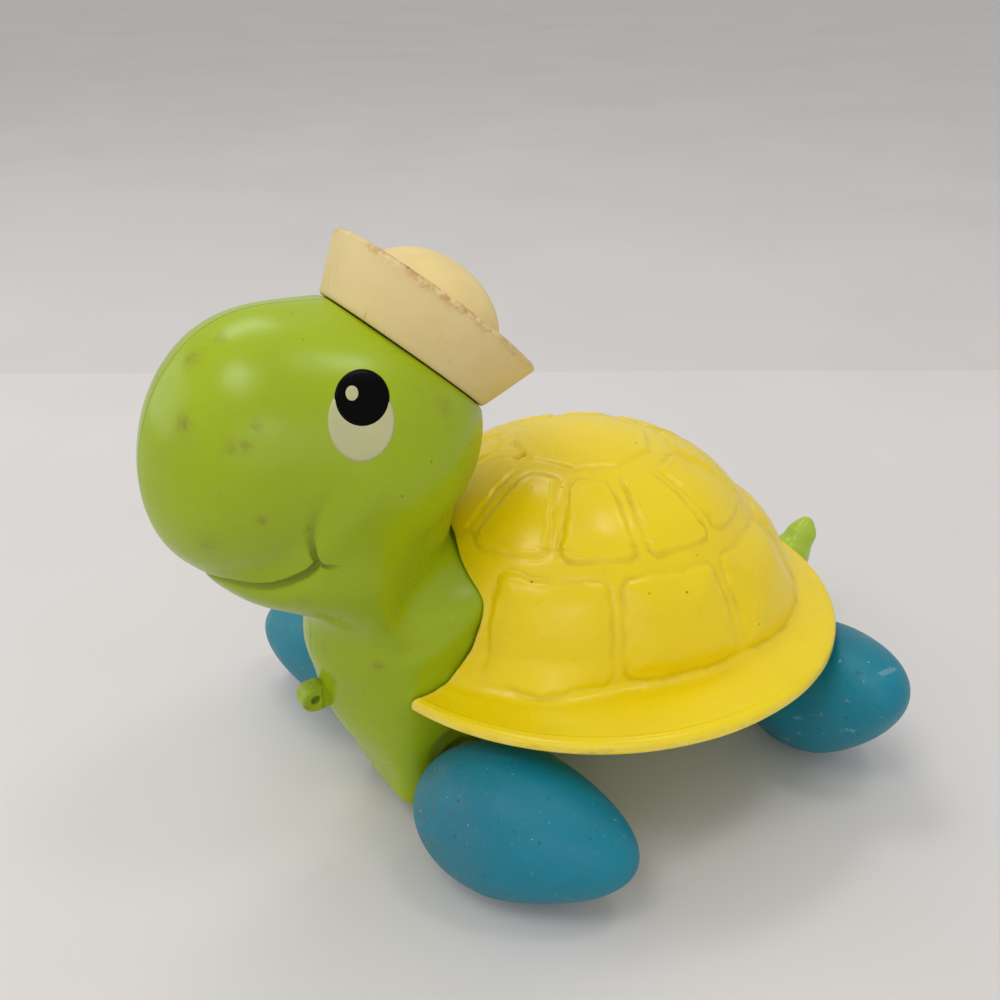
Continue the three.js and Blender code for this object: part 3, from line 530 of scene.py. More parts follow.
def shell_point(share, flange, z, a, inset):
    c, s = np.cos(a), np.sin(a)
    rd = super_radius(c, s, DOME["a"] - inset, DOME["b"] - inset, 2)
    rr = super_radius(c, s, RIM["a"], RIM["b"], RIM["n"])
    turn = (a + np.pi) % (2 * np.pi) - np.pi
    r = rd * share + (rr - rd) * flange + fuller(turn, z) * (1 - flange) * share
    if inset == 0:
        # the foot of the wall runs out into the flange, most of all beside the neck
        run = 6.0 * smooth_step(72 * D, 46 * D, np.abs(turn)) + 2.6 * smooth_step(95 * D, 140 * D, np.abs(turn))
        r = r + run * smooth_step(RIM["z"] + 15, RIM["z"] + 2.4, z) * smooth_step(0.75, 0.0, flange) * share
    cx = DOME["x"] + (RIM["x"] - DOME["x"]) * flange
    return np.stack([cx + r * c, r * s, z + 0 * r], -1)


def outer_rows():
    H, z0 = DOME["z"] - RIM["z"], RIM["z"]
    t = np.linspace(0, 1, 128) ** 0.9 * 84 * D
    t = t[1:]
    dome = np.stack([np.sin(t) ** (2 / DOME["m"]), 0 * t, z0 + H * np.cos(t) ** (2 / DOME["m"])], 1)
    wall = dome[-1] + (np.array([1.0, 0.0, z0 + 6.0]) - dome[-1]) * np.linspace(0, 1, 5)[1:, None]
    # hollow corner where the wall turns out into the flange
    p0, p1, p2 = wall[-1], np.array([1.0, 0.0, z0 + 3.2]), np.array([1.0, 0.22, z0 + 2.7])
    t = np.linspace(0, 1, 20)[1:, None]
    corner = (1 - t) ** 2 * p0 + 2 * t * (1 - t) * p1 + t * t * p2
    t = np.linspace(0, 1, 22)[1:, None]
    a, b = p2, np.array([1, 0.865, z0 + 0.75])
    flat = a + (b - a) * t + np.array([0, 0, 0.30]) * (t * (1 - t))
    # edge of the flange: a fine raised line, a round nose and a tighter lower corner
    line = np.array([(1, 0.872, z0 + 0.80), (1, 0.879, z0 + 0.84), (1, 0.887, z0 + 0.80), (1, 0.895, z0 + 0.66)])
    k = np.linspace(18, 90, 10)[:, None] * D
    upper = np.concatenate([1 + 0 * k, 0.865 + 0.135 * np.sin(k), z0 - 1.75 + 2.45 * np.cos(k)], 1)
    upper = np.concatenate([line, upper])
    side = np.array([(1, 1.0, z0 - 1.75 - 1.10 * q) for q in (0.35, 0.7, 1.0)])
    k = np.linspace(0, 84, 6)[1:, None] * D
    lower = np.concatenate([1 + 0 * k, 0.95 + 0.05 * np.cos(k), z0 - 2.85 - 1.06 * np.sin(k)], 1)
    return np.concatenate([dome, wall, corner, flat, upper, side, lower])


def meridian_arc(rows):
    p = shell_point(rows[:, 0], rows[:, 1], rows[:, 2], np.full(len(rows), 90 * D), 0)
    return np.concatenate([[23.0 * 0 + np.hypot(p[0, 1], 0)], np.hypot(p[0, 1], 0) + np.cumsum(np.linalg.norm(np.diff(p, axis=0), axis=1))])


def soft_box(u, v, w, h, r):
    """Signed distance to a rounded rectangle of half sizes w, h."""
    qx, qy = np.abs(u) - w + r, np.abs(v) - h + r
    return np.hypot(np.maximum(qx, 0), np.maximum(qy, 0)) + np.minimum(np.maximum(qx, qy), 0) - r


UPPER_GAPS = [-145.5, -112.6, -80.0, -47.4, -15.5, 15.5, 47.4, 80.0, 112.6, 145.5, 180.0]
LOWER_GAPS = [-144.5, -106.8, -68.2, -29.6, 29.6, 68.2, 106.8, 144.5, 180.0]
PLAIN_FROM = -29.6       # the lower ring has no panel over the neck


def panel_relief(arc, ang, rho, P):
    """Signed distances, negative inside, from the nearest pillow panel of the upper and lower ring and from the top plate."""
    deg = np.degrees(ang)
    ca = np.cos(ang)
    wob = 0.75 * hash_noise(P, 0.13, 3.0) + 0.42 * hash_noise(P, 0.38, 9.0)
    rings = []
    # top plate, a soft polygon
    n = 9
    sect = 360.0 / n
    local = ((deg - 72 + sect / 2) % sect - sect / 2) * D
    edge = (21.9 - 1.9 * ca) * math.cos(sect / 2 * D) / np.cos(local) * 1.035
    plate = arc - edge + 0.6 * wob
    for gaps, top, bottom, amp_t, amp_b, band, bulge in ((UPPER_GAPS, 28.2, 57.5, 3.1, 2.4, 4.4, 0.0), (LOWER_GAPS, 64.3, 95.6, 3.2, 0.6, 4.4, 1.4)):
        t, b = top - amp_t * ca, bottom - amp_b * ca
        best = np.full(arc.shape, 1e9)
        for i, g0 in enumerate(gaps):
            g1 = gaps[(i + 1) % len(gaps)]
            span = (g1 - g0) % 360
            if g0 == PLAIN_FROM:
                continue
            mid = g0 + span / 2
            off = (deg - mid + 180) % 360 - 180
            w = span / 2 * D * rho - band / 2
            u = off * D * rho
            bb = b + bulge * (1 - np.clip(np.abs(off) / (span / 2), 0, 1) ** 2)
            best = np.minimum(best, np.where(np.abs(off) < span / 2 + 4, soft_box(u, arc - (t + bb) / 2, w, (bb - t) / 2, 3.2), 1e9))
        rings.append(best + wob)
    return rings[0], rings[1], plate


def stitch(fine, coarse, share):
    """Faces between a fine row of points and a coarse one; share tells which coarse point each fine one goes with."""
    faces = []
    for j in range(len(fine) - 1):
        a, b = share[j], share[j + 1]
        if a == b:
            faces.append((fine[j], fine[j + 1], coarse[a]))
        else:
            faces.append((fine[j], fine[j + 1], coarse[b], coarse[a]))
    return faces


def build_shell():
    rows = outer_rows()
    arc = meridian_arc(rows)
    nr = len(rows)
    inner = []
    Hin = DOME["z"] - SHELL_WALL - RIM["z"]
    # inside of the dome, matched row by row with the outside
    fl = RIM["z"] - RIM["thick"]
    for k in range(nr):
        s, f, z = rows[k]
        if f < 0.02:
            t = np.arccos(np.clip(((z - RIM["z"]) / (DOME["z"] - RIM["z"])), 0, 1) ** (DOME["m"] / 2))
            inner.append((np.sin(t) ** (2 / DOME["m"]), 0.0, RIM["z"] + Hin * np.cos(t) ** (2 / DOME["m"]), SHELL_WALL))
        else:
            inner.append(None)
    known = [k for k in range(nr) if inner[k] is not None]
    last = known[-1]
    zl = inner[last][2]
    rest = nr - 1 - last
    # down the wall to the lip, under the lip and out along the underside to the edge
    path = [(inner[last][0], 0.0, zl), (1.0, 0.0, TORSO_FLOOR - 0.2), (1 - LIP / 62, 0.0, TORSO_FLOOR - 0.4), (1 - LIP / 62, 0.0, fl), (1.0, 0.6, fl - 0.0), (rows[-1][0], rows[-1][1] - 0.02, fl)]
    share = np.concatenate([[0], np.cumsum([0.5, 0.06, 0.05, 0.24, 0.15])])
    share /= share[-1]
    for j in range(1, rest + 1):
        x = j / rest
        i = min(int(np.searchsorted(share, x, side="right")) - 1, len(path) - 2)
        t = (x - share[i]) / (share[i + 1] - share[i])
        a, b = np.array(path[i]), np.array(path[i + 1])
        q = a + (b - a) * t
        inner[last + j] = (q[0], q[1], q[2], SHELL_WALL)
    inner = np.array(inner)
    # half angle of the notch round the neck, per row
    test = np.linspace(0, 75, 601) * D

    def open_angle(s, f, z, inset, gap):
        P = shell_point(np.full(601, s), np.full(601, f), np.full(601, z), test, inset)
        inside = column(P[:, 0], P[:, 1], P[:, 2]) < gap
        return test[np.where(inside)[0].max()] if inside.any() else 0.0
    def tidy(a):
        """Opening half angles without gaps or jitter, and the first open row."""
        top = np.where(a > 0)[0].min()
        for k in range(top + 1, nr):
            if a[k] == 0:
                a[k] = a[k - 1]
        sm = np.convolve(np.pad(a, 2, mode="edge"), np.array([1, 2, 3, 2, 1]) / 9, mode="valid")
        return np.where(np.arange(nr) > top + 3, np.maximum(sm, a - 0.003), a), top
    a_out, top_out = tidy(np.array([open_angle(*rows[k], 0.0, 0.75) for k in range(nr)]))
    a_in, top_in = tidy(np.array([open_angle(*inner[k], 0.75) for k in range(nr)]))
    top = max(min(top_out, top_in) - 1, 0)

    def columns(k, a0, body_cols, edge_mm):
        rho = np.linalg.norm(shell_point(rows[k, 0], rows[k, 1], rows[k, 2], np.array(60 * D), 0.0)[:2] - np.array([DOME["x"], 0])) + 1e-6
        e = np.minimum(edge_mm / rho, 0.03)
        mid = np.linspace(a0 + e[-1], 2 * np.pi - a0 - e[-1], body_cols + 2)[1:-1]
        return np.concatenate([a0 + e, mid, 2 * np.pi - a0 - e[::-1]])
    # outside: a few columns close to the cut edge, then even ones
    A = np.array([columns(k, a_out[k], 514, np.array([0.0, 0.12, 0.35, 0.7, 1.2, 2.0])) for k in range(nr)])
    O = np.array([shell_point(np.full(A.shape[1], rows[k, 0]), np.full(A.shape[1], rows[k, 1]), np.full(A.shape[1], rows[k, 2]), A[k], 0.0) for k in range(nr)])
    du, dv = np.gradient(O, axis=0), np.gradient(O, axis=1)
    N = np.cross(dv, du)
    N /= np.linalg.norm(N, axis=-1, keepdims=True) + 1e-12
    if N[10, :, 2].mean() < 0:
        N = -N
    shut = a_out == 0
    both = N[shut, 0] + N[shut, -1]
    both /= np.linalg.norm(both, axis=-1, keepdims=True)
    N[shut, 0], N[shut, -1] = both, both
    ang = (A + np.pi) % (2 * np.pi) - np.pi
    rad = np.hypot(O[..., 0] - DOME["x"], O[..., 1])
    along = np.repeat(arc[:, None], O.shape[1], 1)
    upper, lower, plate = panel_relief(along, ang, rad, O)
    lift = -0.30
    groove = np.zeros_like(upper)
    for dist, step, bead, line, swell in ((upper, 0.34, 0.30, 0.34, 0.40), (lower, 0.34, 0.22, 0.30, 1.75), (plate, 0.60, 0.22, 0.28, 0.35)):
        inside = 1.0 - smooth_step(-1.3, 0.5, dist)
        swelled = swell * (1 - np.exp(-np.maximum(-dist - 1.0, 0) / 6.5))
        near = np.exp(-((dist - 0.55) / 0.75) ** 2)
        uneven = np.clip(0.75 + 0.65 * hash_noise(O, 0.09, 2.0 + swell), 0.15, 1.3)
        lift = lift + (step + swelled) * inside + uneven * (bead * np.exp(-((dist + 1.3) / 0.85) ** 2) - line * near)
        groove = np.maximum(groove, near * uneven)
    lift = lift * (1 - smooth_step(96.5, 102.0, along))
    # round the cut edge
    gapmm = np.minimum(A - a_out[:, None], 2 * np.pi - a_out[:, None] - A) * rad
    r = 0.9
    drop = np.where(gapmm < r, r - np.sqrt(np.maximum(r * r - (r - gapmm) ** 2, 0)), 0.0)
    O = O + N * (lift - np.where(shut[:, None], 0.0, drop))[..., None]
    # soft unevenness of the moulding
    O = O + N * (0.10 * hash_noise(O, 0.07, 5.0))[..., None]
    nc, n = O.shape[1], O.shape[0] * O.shape[1]
    # inside: a coarser skin on every third row
    pick = sorted(set(list(range(0, nr, 3)) + [top, nr - 1]))
    B = np.array([columns(k, a_in[k], 170, np.array([0.0, 1.0])) for k in pick])
    I = np.array([shell_point(np.full(B.shape[1], inner[k, 0]), np.full(B.shape[1], inner[k, 1]), np.full(B.shape[1], inner[k, 2]), B[i], SHELL_WALL) for i, k in enumerate(pick)])
    mr, mc = I.shape[:2]
    verts = np.concatenate([O.reshape(-1, 3), I.reshape(-1, 3), [[DOME["x"], 0, O[0, :, 2].mean() + 0.02], [DOME["x"], 0, DOME["z"] - SHELL_WALL]]])

    def grid(base, rows_n, cols_n, flip):
        i, j = np.meshgrid(np.arange(rows_n - 1), np.arange(cols_n - 1), indexing="ij")
        q = base + (i * cols_n + j).ravel()
        f = np.stack([q, q + cols_n, q + cols_n + 1, q + 1], 1)
        return (f[:, ::-1] if flip else f).tolist()
    faces = grid(0, nr, nc, False) + grid(n, mr, mc, True)
    # strip under the rim and walls of the notch
    share = np.clip(np.round(np.interp(A[-1], B[-1], np.arange(mc))).astype(int), 0, mc - 1)
    share[0], share[-1] = 0, mc - 1
    faces += stitch([(nr - 1) * nc + j for j in range(nc)], [n + (mr - 1) * mc + j for j in range(mc)], np.maximum.accumulate(share))
    first = pick.index(top)
    share = [int(np.clip(np.searchsorted(pick, k), first, mr - 1)) - first for k in range(top, nr)]
    for c_out, c_in in ((0, 0), (nc - 1, mc - 1)):
        faces += stitch([k * nc + c_out for k in range(top, nr)], [n + i * mc + c_in for i in range(first, mr)], share)
    last_v = len(verts) - 2
    faces += [(last_v, j + 1, j) for j in range(nc - 1)] + [(last_v + 1, n + j, n + j + 1) for j in range(mc - 1)]
    rest = len(verts) - n
    lower = smooth_step(RIM["z"] + 0.4, RIM["z"] - 2.6, O[..., 2]) * (along > 100)
    cut_edge = np.where(shut[:, None], 0.0, np.exp(-(gapmm / 1.1) ** 2)) * (along > 60)
    marks = {"groove": np.concatenate([groove.ravel(), np.zeros(rest)]), "rim": np.concatenate([lower.ravel(), np.zeros(rest)]), "cut": np.concatenate([cut_edge.ravel(), np.zeros(rest)])}
    ob = new_object("shell", verts, faces, marks=marks)
    weld(ob, 2e-6)
    outward(ob)
    return ob


# ---------------------------------------------------------------------------- hat
def build_hat():
    cb = 0.6 * HAT["band"]
    crown = [(HAT["crown"] * math.cos(k * D), cb + HAT["rise"] * math.sin(k * D)) for k in np.linspace(90, 6, 26)]
    crown[0] = (0.0, cb + HAT["rise"])
    b, r1, r0 = HAT["band"], HAT["r1"], HAT["r0"]
    tail = rounded([crown[-1], (HAT["crown"] + 0.3, cb + 0.4), (HAT["crown"] + 2.4, cb + 0.4), (r1 - 3.6, b - 0.3), (r1 - 2.6, b + 0.55), (r1 - 0.9, b + 0.45), (r1, b - 0.5),
                    (r1 - (r1 - r0) * 0.5, b * 0.5), (r0 + 0.12, 0.9), (r0 - 0.5, 0.0), (8.0, 0.0)], [0, 0.5, 0.9, 1.2, 0.8, 0.8, 0.6, 0, 0.5, 0.5, 0], 4)
    fine = []
    for (ra, ha), (rb, hb) in zip(tail[:-1], tail[1:]):
        m = max(1, int(math.hypot(rb - ra, hb - ha) / 1.4))
        fine += [(ra + (rb - ra) * i / m, ha + (hb - ha) * i / m) for i in range(m)]
    prof = crown[:-1] + fine + [(8.0, 0.0), (8.0, -9.0), (6.0, -9.0), (6.0, 2.4), (r0 - 3, 2.4), (r0 - 1.2, 7.6), (HAT["crown"] + 2, cb - 2), (HAT["crown"] - 2.4, cb), (12.0, cb + HAT["rise"] - 5.0), (0.0, cb + HAT["rise"] - 2.4)]
    base = HAT_BASE + 0.3 * HAT_AXIS
    v, f = lathe(prof, 168, base, HAT_AXIS, (0, 1, 0))
    # slight unevenness of the soft moulding and wear at the brim
    h = (v - base) @ HAT_AXIS
    rv = v - base - h[:, None] * HAT_AXIS
    rl = np.linalg.norm(rv, axis=1)
    unit = rv / np.maximum(rl, 1e-6)[:, None]
    out = (rl > 24) & (h > 2)
    v = v + np.where(out, 0.10 * hash_noise(v, 0.12, 2.0) * smooth_step(2, 9, h), 0)[:, None] * unit
    worn = np.exp(-((h - HAT["band"]) / 1.2) ** 2) * (rl > 30)
    v = v - (0.22 * worn * np.maximum(hash_noise(v, 0.23, 7.0) + 0.30 * hash_noise(v, 0.77, 3.0), 0))[:, None] * HAT_AXIS
    around = np.arctan2(rv @ np.cross(HAT_AXIS, (0, 1, 0)), rv[:, 1])
    marks = {"brim": np.exp(-((h - HAT["band"]) / 1.7) ** 2) * (rl > HAT["r1"] - 5.5), "foot": smooth_step(11, 0.5, h) * (rl > 20), "top": (h > cb + 0.6) * (rl < HAT["crown"] + 1.5),
             "round": around * HAT["r1"] * MM, "up": h * MM}
    ob = new_object("sailor_hat", v, f, marks=marks)
    outward(ob)
    return sharp_edges(ob, 55)


# ----------------------------------------------------------------------- tow eye
def build_tow_eye():
    def field(x, y, z):
        # rounded plate on a stem, with a cross-bar inside the body
        r = 0.9
        flat = np.hypot(np.maximum(x - EYE["x"], 0), z - EYE["z"]) - EYE["r"]
        flat = np.where(x < EYE["x"], np.abs(z - EYE["z"]) - EYE["r"], flat)
        flat = np.maximum(flat, EYE["face"] - x)
        side = np.abs(y) - EYE["thick"] / 2
        d = np.hypot(np.maximum(flat + r, 0), np.maximum(side + r, 0)) + np.minimum(np.maximum(flat + r, side + r), 0) - r
        qy, qz = np.abs(y) - EYE["stem_y"] + r, np.abs(z - EYE["z"]) - EYE["stem_z"] + r
        stem = np.hypot(np.maximum(qy, 0), np.maximum(qz, 0)) + np.minimum(np.maximum(qy, qz), 0) - r
        stem = np.maximum(np.maximum(stem, x - EYE["face"] - 1.5), EYE["root"] + 1 - x)
        d = blend(d, stem, 0.5)
        hole = np.hypot(x - EYE["x"], z - EYE["z"]) - EYE["hole"]
        d = cut(d, hole, 0.7)
        bar = np.maximum(np.maximum(np.abs(x - EYE["root"] - 1.3) - 1.3, np.abs(y) - 5.4), np.abs(z - EYE["z"]) - EYE["r"] + 0.2)
        return np.minimum(d, bar)
    v, q = surface_nets(field, (72.4, -6.2, 46.4), (95.4, 6.2, 57.6), 0.3)
    v = settle(field, v, 3, 0.2)
    tip = np.array([93.6, 2.6, 50.2])
    return outward(new_object("tow_lug", v, q, marks={"stain": 0.8 * np.exp(-(np.linalg.norm(v - tip, axis=1) / 1.8) ** 2)}))


# -------------------------------------------------------------------------- tail
def build_tail():
    C = np.array([(-91.0, 40.5), (-100.0, 40.5), (-111.0, 41.6), (-118.6, 43.0), (-124.7, 51.6), (-126.2, 55.0)])
    R = np.array([7.1, 7.1, 7.5, 7.9, 5.6, 2.6])

    def field(x, y, z):
        # rounded cones from point to point, run together
        d = None
        for (ax, az), (bx, bz), ra, rb in zip(C[:-1], C[1:], R[:-1], R[1:]):
            t = np.clip(((x - ax) * (bx - ax) + (z - az) * (bz - az)) / ((bx - ax) ** 2 + (bz - az) ** 2), 0, 1)
            q = np.sqrt((x - ax - t * (bx - ax)) ** 2 + (y * 1.02) ** 2 + (z - az - t * (bz - az)) ** 2) - ra - (rb - ra) * t
            d = q if d is None else blend(d, q, 4.5)
        return np.maximum(d + 0.95 * smooth_step(-104, -112, x), x + 89.0)
    v, q = surface_nets(field, (-132.0, -10.0, 31.0), (-87.5, 10.0, 60.0), 0.6)
    v = settle(field, v, 3, 0.3)
    return outward(new_object("tail_spike", v, q))


# -------------------------------------------------------------- feet and their axles
def foot_axis(side, phase):
    return side * np.array([-math.sin(FOOT_CANT) * math.cos(phase), math.cos(FOOT_CANT), math.sin(FOOT_CANT) * math.sin(phase)])


def build_foot(end, hand):
    ax, az, phase = AXLES[end]
    side = 1 if hand == "left" else -1
    centre = np.array([ax, side * FOOT_Y, az])
    A = foot_axis(side, phase)

    def field(x, y, z):
        dx, dy, dz = x - centre[0], y - centre[1], z - centre[2]
        t = dx * A[0] + dy * A[1] + dz * A[2]
        r2 = np.maximum(dx * dx + dy * dy + dz * dz - t * t, 0)
        L = np.where(t < 0, FOOT_IN, FOOT_OUT)
        p = np.where(t < 0, FOOT_P_IN, FOOT_P_OUT)
        s = np.abs(t) / L + 1e-9
        g = r2 / FOOT_R ** 2 + s ** p - 1
        slope = np.sqrt(4 * r2 / FOOT_R ** 4 + (p * s ** (p - 1) / L) ** 2) + 1e-6
        d = g / slope
        q = np.hypot(x - ax, z - az)
        return np.maximum(d, -np.maximum(q - 9.4, side * y - 28.0))
    lo, hi = centre - 43, centre + 43
    v, f = surface_nets(field, lo, hi, 0.95)
    v = settle(field, v, 4, 0.6)
    # dents and scuffs of years of rolling
    along = (v - centre) @ A
    skin = np.hypot(v[:, 0] - ax, v[:, 2] - az) > 10.5
    N = gradient(field, v)
    N /= np.linalg.norm(N, axis=1, keepdims=True) + 1e-9
    dent = np.maximum(hash_noise(v, 0.62, 3.1 * side + phase) - 0.55, 0) * 0.5 + 0.03 * hash_noise(v, 1.5, 1.0)
    v = v - N * np.where(skin, dent, 0)[:, None]
    front = (v[:, 0] - centre[0]) / FOOT_R
    dust = np.clip(smooth_step(6, -24, along) * 0.75 + 0.35 * smooth_step(0.35, 1.0, front) + 0.25 * smooth_step(-0.2, -1.0, (v[:, 2] - centre[2]) / FOOT_R), 0, 1)
    return outward(new_object("egg_foot_%s_%s" % (end, hand), v, f, marks={"dust": dust}))


def turned(name, profile, side, end, sides=64):
    ax, az, _ = AXLES[end]
    v, f = lathe(profile, sides, (ax, 0, az), (0, side, 0), (1, 0, 0))
    return sharp_edges(outward(new_object(name, v, f)), 40)


# ------------------------------------------------------------------------- eyes
# the picture's view, in the modelling frame: place in millimetres, directions and focal length for a picture 1000 wide
VIEW_YAW, VIEW_PITCH, VIEW_ROLL, VIEW_F = -121.195 * D, 26.900 * D, 0.211 * D, 1209.912
VIEW_AT = np.array([203.430, 305.288, 284.911])
VIEW_W = np.array([math.cos(VIEW_YAW) * math.cos(VIEW_PITCH), math.sin(VIEW_YAW) * math.cos(VIEW_PITCH), -math.sin(VIEW_PITCH)])
_r = np.array([math.sin(VIEW_YAW), -math.cos(VIEW_YAW), 0.0])
_d = np.cross(VIEW_W, _r)
VIEW_R = math.cos(VIEW_ROLL) * _r + math.sin(VIEW_ROLL) * _d
VIEW_D = -math.sin(VIEW_ROLL) * _r + math.cos(VIEW_ROLL) * _d


def head_field(x, y, z):
    return column(x, y, z) + face_lines(x, y, z)


def seen_at(px):
    """Points of the head that the picture shows at these places."""
    px = np.asarray(px, float)
    q = VIEW_W + ((px[:, :1] - 500) / VIEW_F) * VIEW_R + ((px[:, 1:] - 500) / VIEW_F) * VIEW_D
    q /= np.linalg.norm(q, axis=1, keepdims=True)
    P = VIEW_AT + q * 230.0
    for _ in range(90):
        P = P + q * (0.8 * head_field(P[:, 0], P[:, 1], P[:, 2]))[:, None]
    return P


def patch(name, side, centre, half, lift, rings=14, sides=96):
    """Thin painted disc on the cheek, round as the picture shows it."""
    th = np.linspace(0, 2 * np.pi, sides, endpoint=False)
    levels = list(np.linspace(0, 1, rings)[1:])
    px = [np.array(centre, float)[None, :]]
    for l in levels:
        px.append(np.array(centre) + l * np.stack([half[0] * np.cos(th), -half[1] * np.sin(th)], 1))
    P = settle(head_field, seen_at(np.concatenate(px)), 4, 1.0)
    N = gradient(head_field, P)
    N /= np.linalg.norm(N, axis=1, keepdims=True)
    top = P + N * lift
    # soft edge: the last ring comes down to the skin
    k = 1 + sides * (rings - 2)
    top[k:] = P[k:] + N[k:] * lift * 0.35
    low = P[k:] - N[k:] * 0.25
    centre_low = P[:1] - N[:1] * 0.25
    V = np.concatenate([top, low, centre_low])
    V[:, 1] *= side
    faces = [(0, 1 + (j + 1) % sides, 1 + j) for j in range(sides)]
    for i in range(rings - 2):
        a, b = 1 + i * sides, 1 + (i + 1) * sides
        faces += [(a + j, a + (j + 1) % sides, b + (j + 1) % sides, b + j) for j in range(sides)]
    a, b = 1 + (rings - 2) * sides, len(top)
    faces += [(a + j, a + (j + 1) % sides, b + (j + 1) % sides, b + j) for j in range(sides)]
    faces += [(b + j, b + (j + 1) % sides, len(V) - 1) for j in range(sides)]
    return outward(new_object(name, V, faces))


# ---------------------------------------------------------------------- materials
def linear(rgb):
    return tuple(((c / 255) / 12.92 if c <= 10 else (((c / 255) + 0.055) / 1.055) ** 2.4) for c in rgb) + (1.0,)


class Nodes:
    def __init__(self, name):
        self.mat = bpy.data.materials.new(name)
        self.mat.use_nodes = True
        self.t = self.mat.node_tree
        self.b = self.t.nodes["Principled BSDF"]
        self.co = self.t.nodes.new("ShaderNodeTexCoord").outputs["Object"]

    def set(self, **kw):
        for k, v in kw.items():
            self.b.inputs[k.replace("_", " ")].default_value = v

    def link(self, a, b):
        self.t.links.new(a, b)

    def node(self, kind, **props):
        n = self.t.nodes.new(kind)
        for k, v in props.items():
            setattr(n, k, v)
        return n

    def attr(self, name):
        return self.node("ShaderNodeAttribute", attribute_name=name).outputs["Fac"]

    def mapping(self, scale=(1, 1, 1), loc=(0, 0, 0), rot=(0, 0, 0)):
        m = self.node("ShaderNodeMapping")
        m.inputs["Scale"].default_value = scale
        m.inputs["Location"].default_value = loc
        m.inputs["Rotation"].default_value = rot
        self.link(self.co, m.inputs["Vector"])
        return m.outputs["Vector"]

    def noise(self, scale, detail=3.0, rough=0.5, coord=None, distortion=0.0):
        n = self.node("ShaderNodeTexNoise")
        n.inputs["Scale"].default_value = scale
        n.inputs["Detail"].default_value = detail
        n.inputs["Roughness"].default_value = rough
        n.inputs["Distortion"].default_value = distortion
        self.link(coord if coord is not None else self.co, n.inputs["Vector"])
        return n.outputs["Fac"]

    def voronoi(self, scale, coord=None, feature="F1"):
        n = self.node("ShaderNodeTexVoronoi", feature=feature)
        n.inputs["Scale"].default_value = scale
        self.link(coord if coord is not None else self.co, n.inputs["Vector"])
        return n.outputs["Distance"]

    def ramp(self, fac, stops):
        n = self.node("ShaderNodeValToRGB")
        e = n.color_ramp.elements
        while len(e) < len(stops):
            e.new(0.5)
        for el, (p, c) in zip(e, stops):
            el.position = p
            el.color = c if isinstance(c, tuple) else (c, c, c, 1)
        self.link(fac, n.inputs["Fac"])
        return n.outputs["Color"]

    def mix(self, fac, a, b, blend="MIX"):
        n = self.node("ShaderNodeMix", data_type="RGBA", blend_type=blend)
        self.link(fac, n.inputs["Factor"])
        for s, v in ((n.inputs[6], a), (n.inputs[7], b)):
            if isinstance(v, tuple):
                s.default_value = v
            else:
                self.link(v, s)
        return n.outputs[2]

    def math(self, op, a, b=0.0, clamp=False):
        n = self.node("ShaderNodeMath", operation=op, use_clamp=clamp)
        for s, v in ((n.inputs[0], a), (n.inputs[1], b)):
            if isinstance(v, (int, float)):
                s.default_value = v
            else:
                self.link(v, s)
        return n.outputs[0]

    def bump(self, height, strength, distance):
        n = self.node("ShaderNodeBump")
        n.inputs["Strength"].default_value = strength
        n.inputs["Distance"].default_value = distance
        self.link(height, n.inputs["Height"])
        self.link(n.outputs["Normal"], self.b.inputs["Normal"])

    def color(self, c):
        self.link(c, self.b.inputs["Base Color"])

    def roughness(self, r):
        self.link(r, self.b.inputs["Roughness"])


def green_plastic(name="green_plastic", pale=0):
    m = Nodes(name)
    m.set(Specular_IOR_Level=0.38)
    tints = [(143, 164, 4), (151, 173, 6), (158, 180, 12)] if not pale else [(160, 186, 46), (170, 196, 54), (178, 202, 66)]
    base = m.ramp(m.noise(14, 2.0, 0.5), [(p, linear(c)) for p, c in zip((0.30, 0.55, 0.75), tints)])
    rub = m.ramp(m.noise(48, 5.0, 0.65), [(0.52, 0.0), (0.80, 1.0)])
    base = m.mix(m.math("MULTIPLY", rub, 0.22), base, linear((124, 138, 36)))
    grain = m.ramp(m.noise(650, 3.0, 0.6), [(0.36, 0.3), (0.60, 1.0)])
    mark = m.math("MULTIPLY", m.attr("stain"), grain)
    base = m.mix(m.math("MULTIPLY", mark, 0.8), base, linear((118, 88, 36)))
    faint = m.ramp(m.noise(120, 3.0, 0.55, m.mapping(loc=(0.31, 0.17, 0.05))), [(0.66, 0.0), (0.80, 1.0)])
    base = m.mix(m.math("MULTIPLY", faint, 0.30), base, linear((128, 116, 44)))
    dots = m.ramp(m.voronoi(170), [(0.05, 1.0), (0.085, 0.0)])
    rare = m.ramp(m.noise(40, 2.0, 0.5, m.mapping(loc=(0.5, 0.2, 0.8))), [(0.58, 0.0), (0.64, 1.0)])
    base = m.mix(m.math("MULTIPLY", dots, m.math("MULTIPLY", rare, 0.6)), base, linear((66, 72, 24)))
    # painted shade, with some dirt, darkens the mouth and the creases of the face
    base = m.mix(m.math("MULTIPLY", m.attr("line"), 0.86), base, linear((52, 62, 16)))
    m.color(base)
    m.roughness(m.math("ADD", m.ramp(m.noise(75, 4.0, 0.6), [(0.3, 0.22), (0.7, 0.31)]), m.math("MULTIPLY", rub, 0.10)))
    lines = m.ramp(m.noise(260, 2.0, 0.5, m.mapping(scale=(0.12, 1.0, 1.6), rot=(0.3, 0.5, 0.2))), [(0.66, 0.0), (0.72, 1.0)])
    m.bump(m.math("SUBTRACT", m.noise(380, 3.0, 0.5), m.math("MULTIPLY", lines, 0.35)), 0.05, 0.0004)
    return m.mat


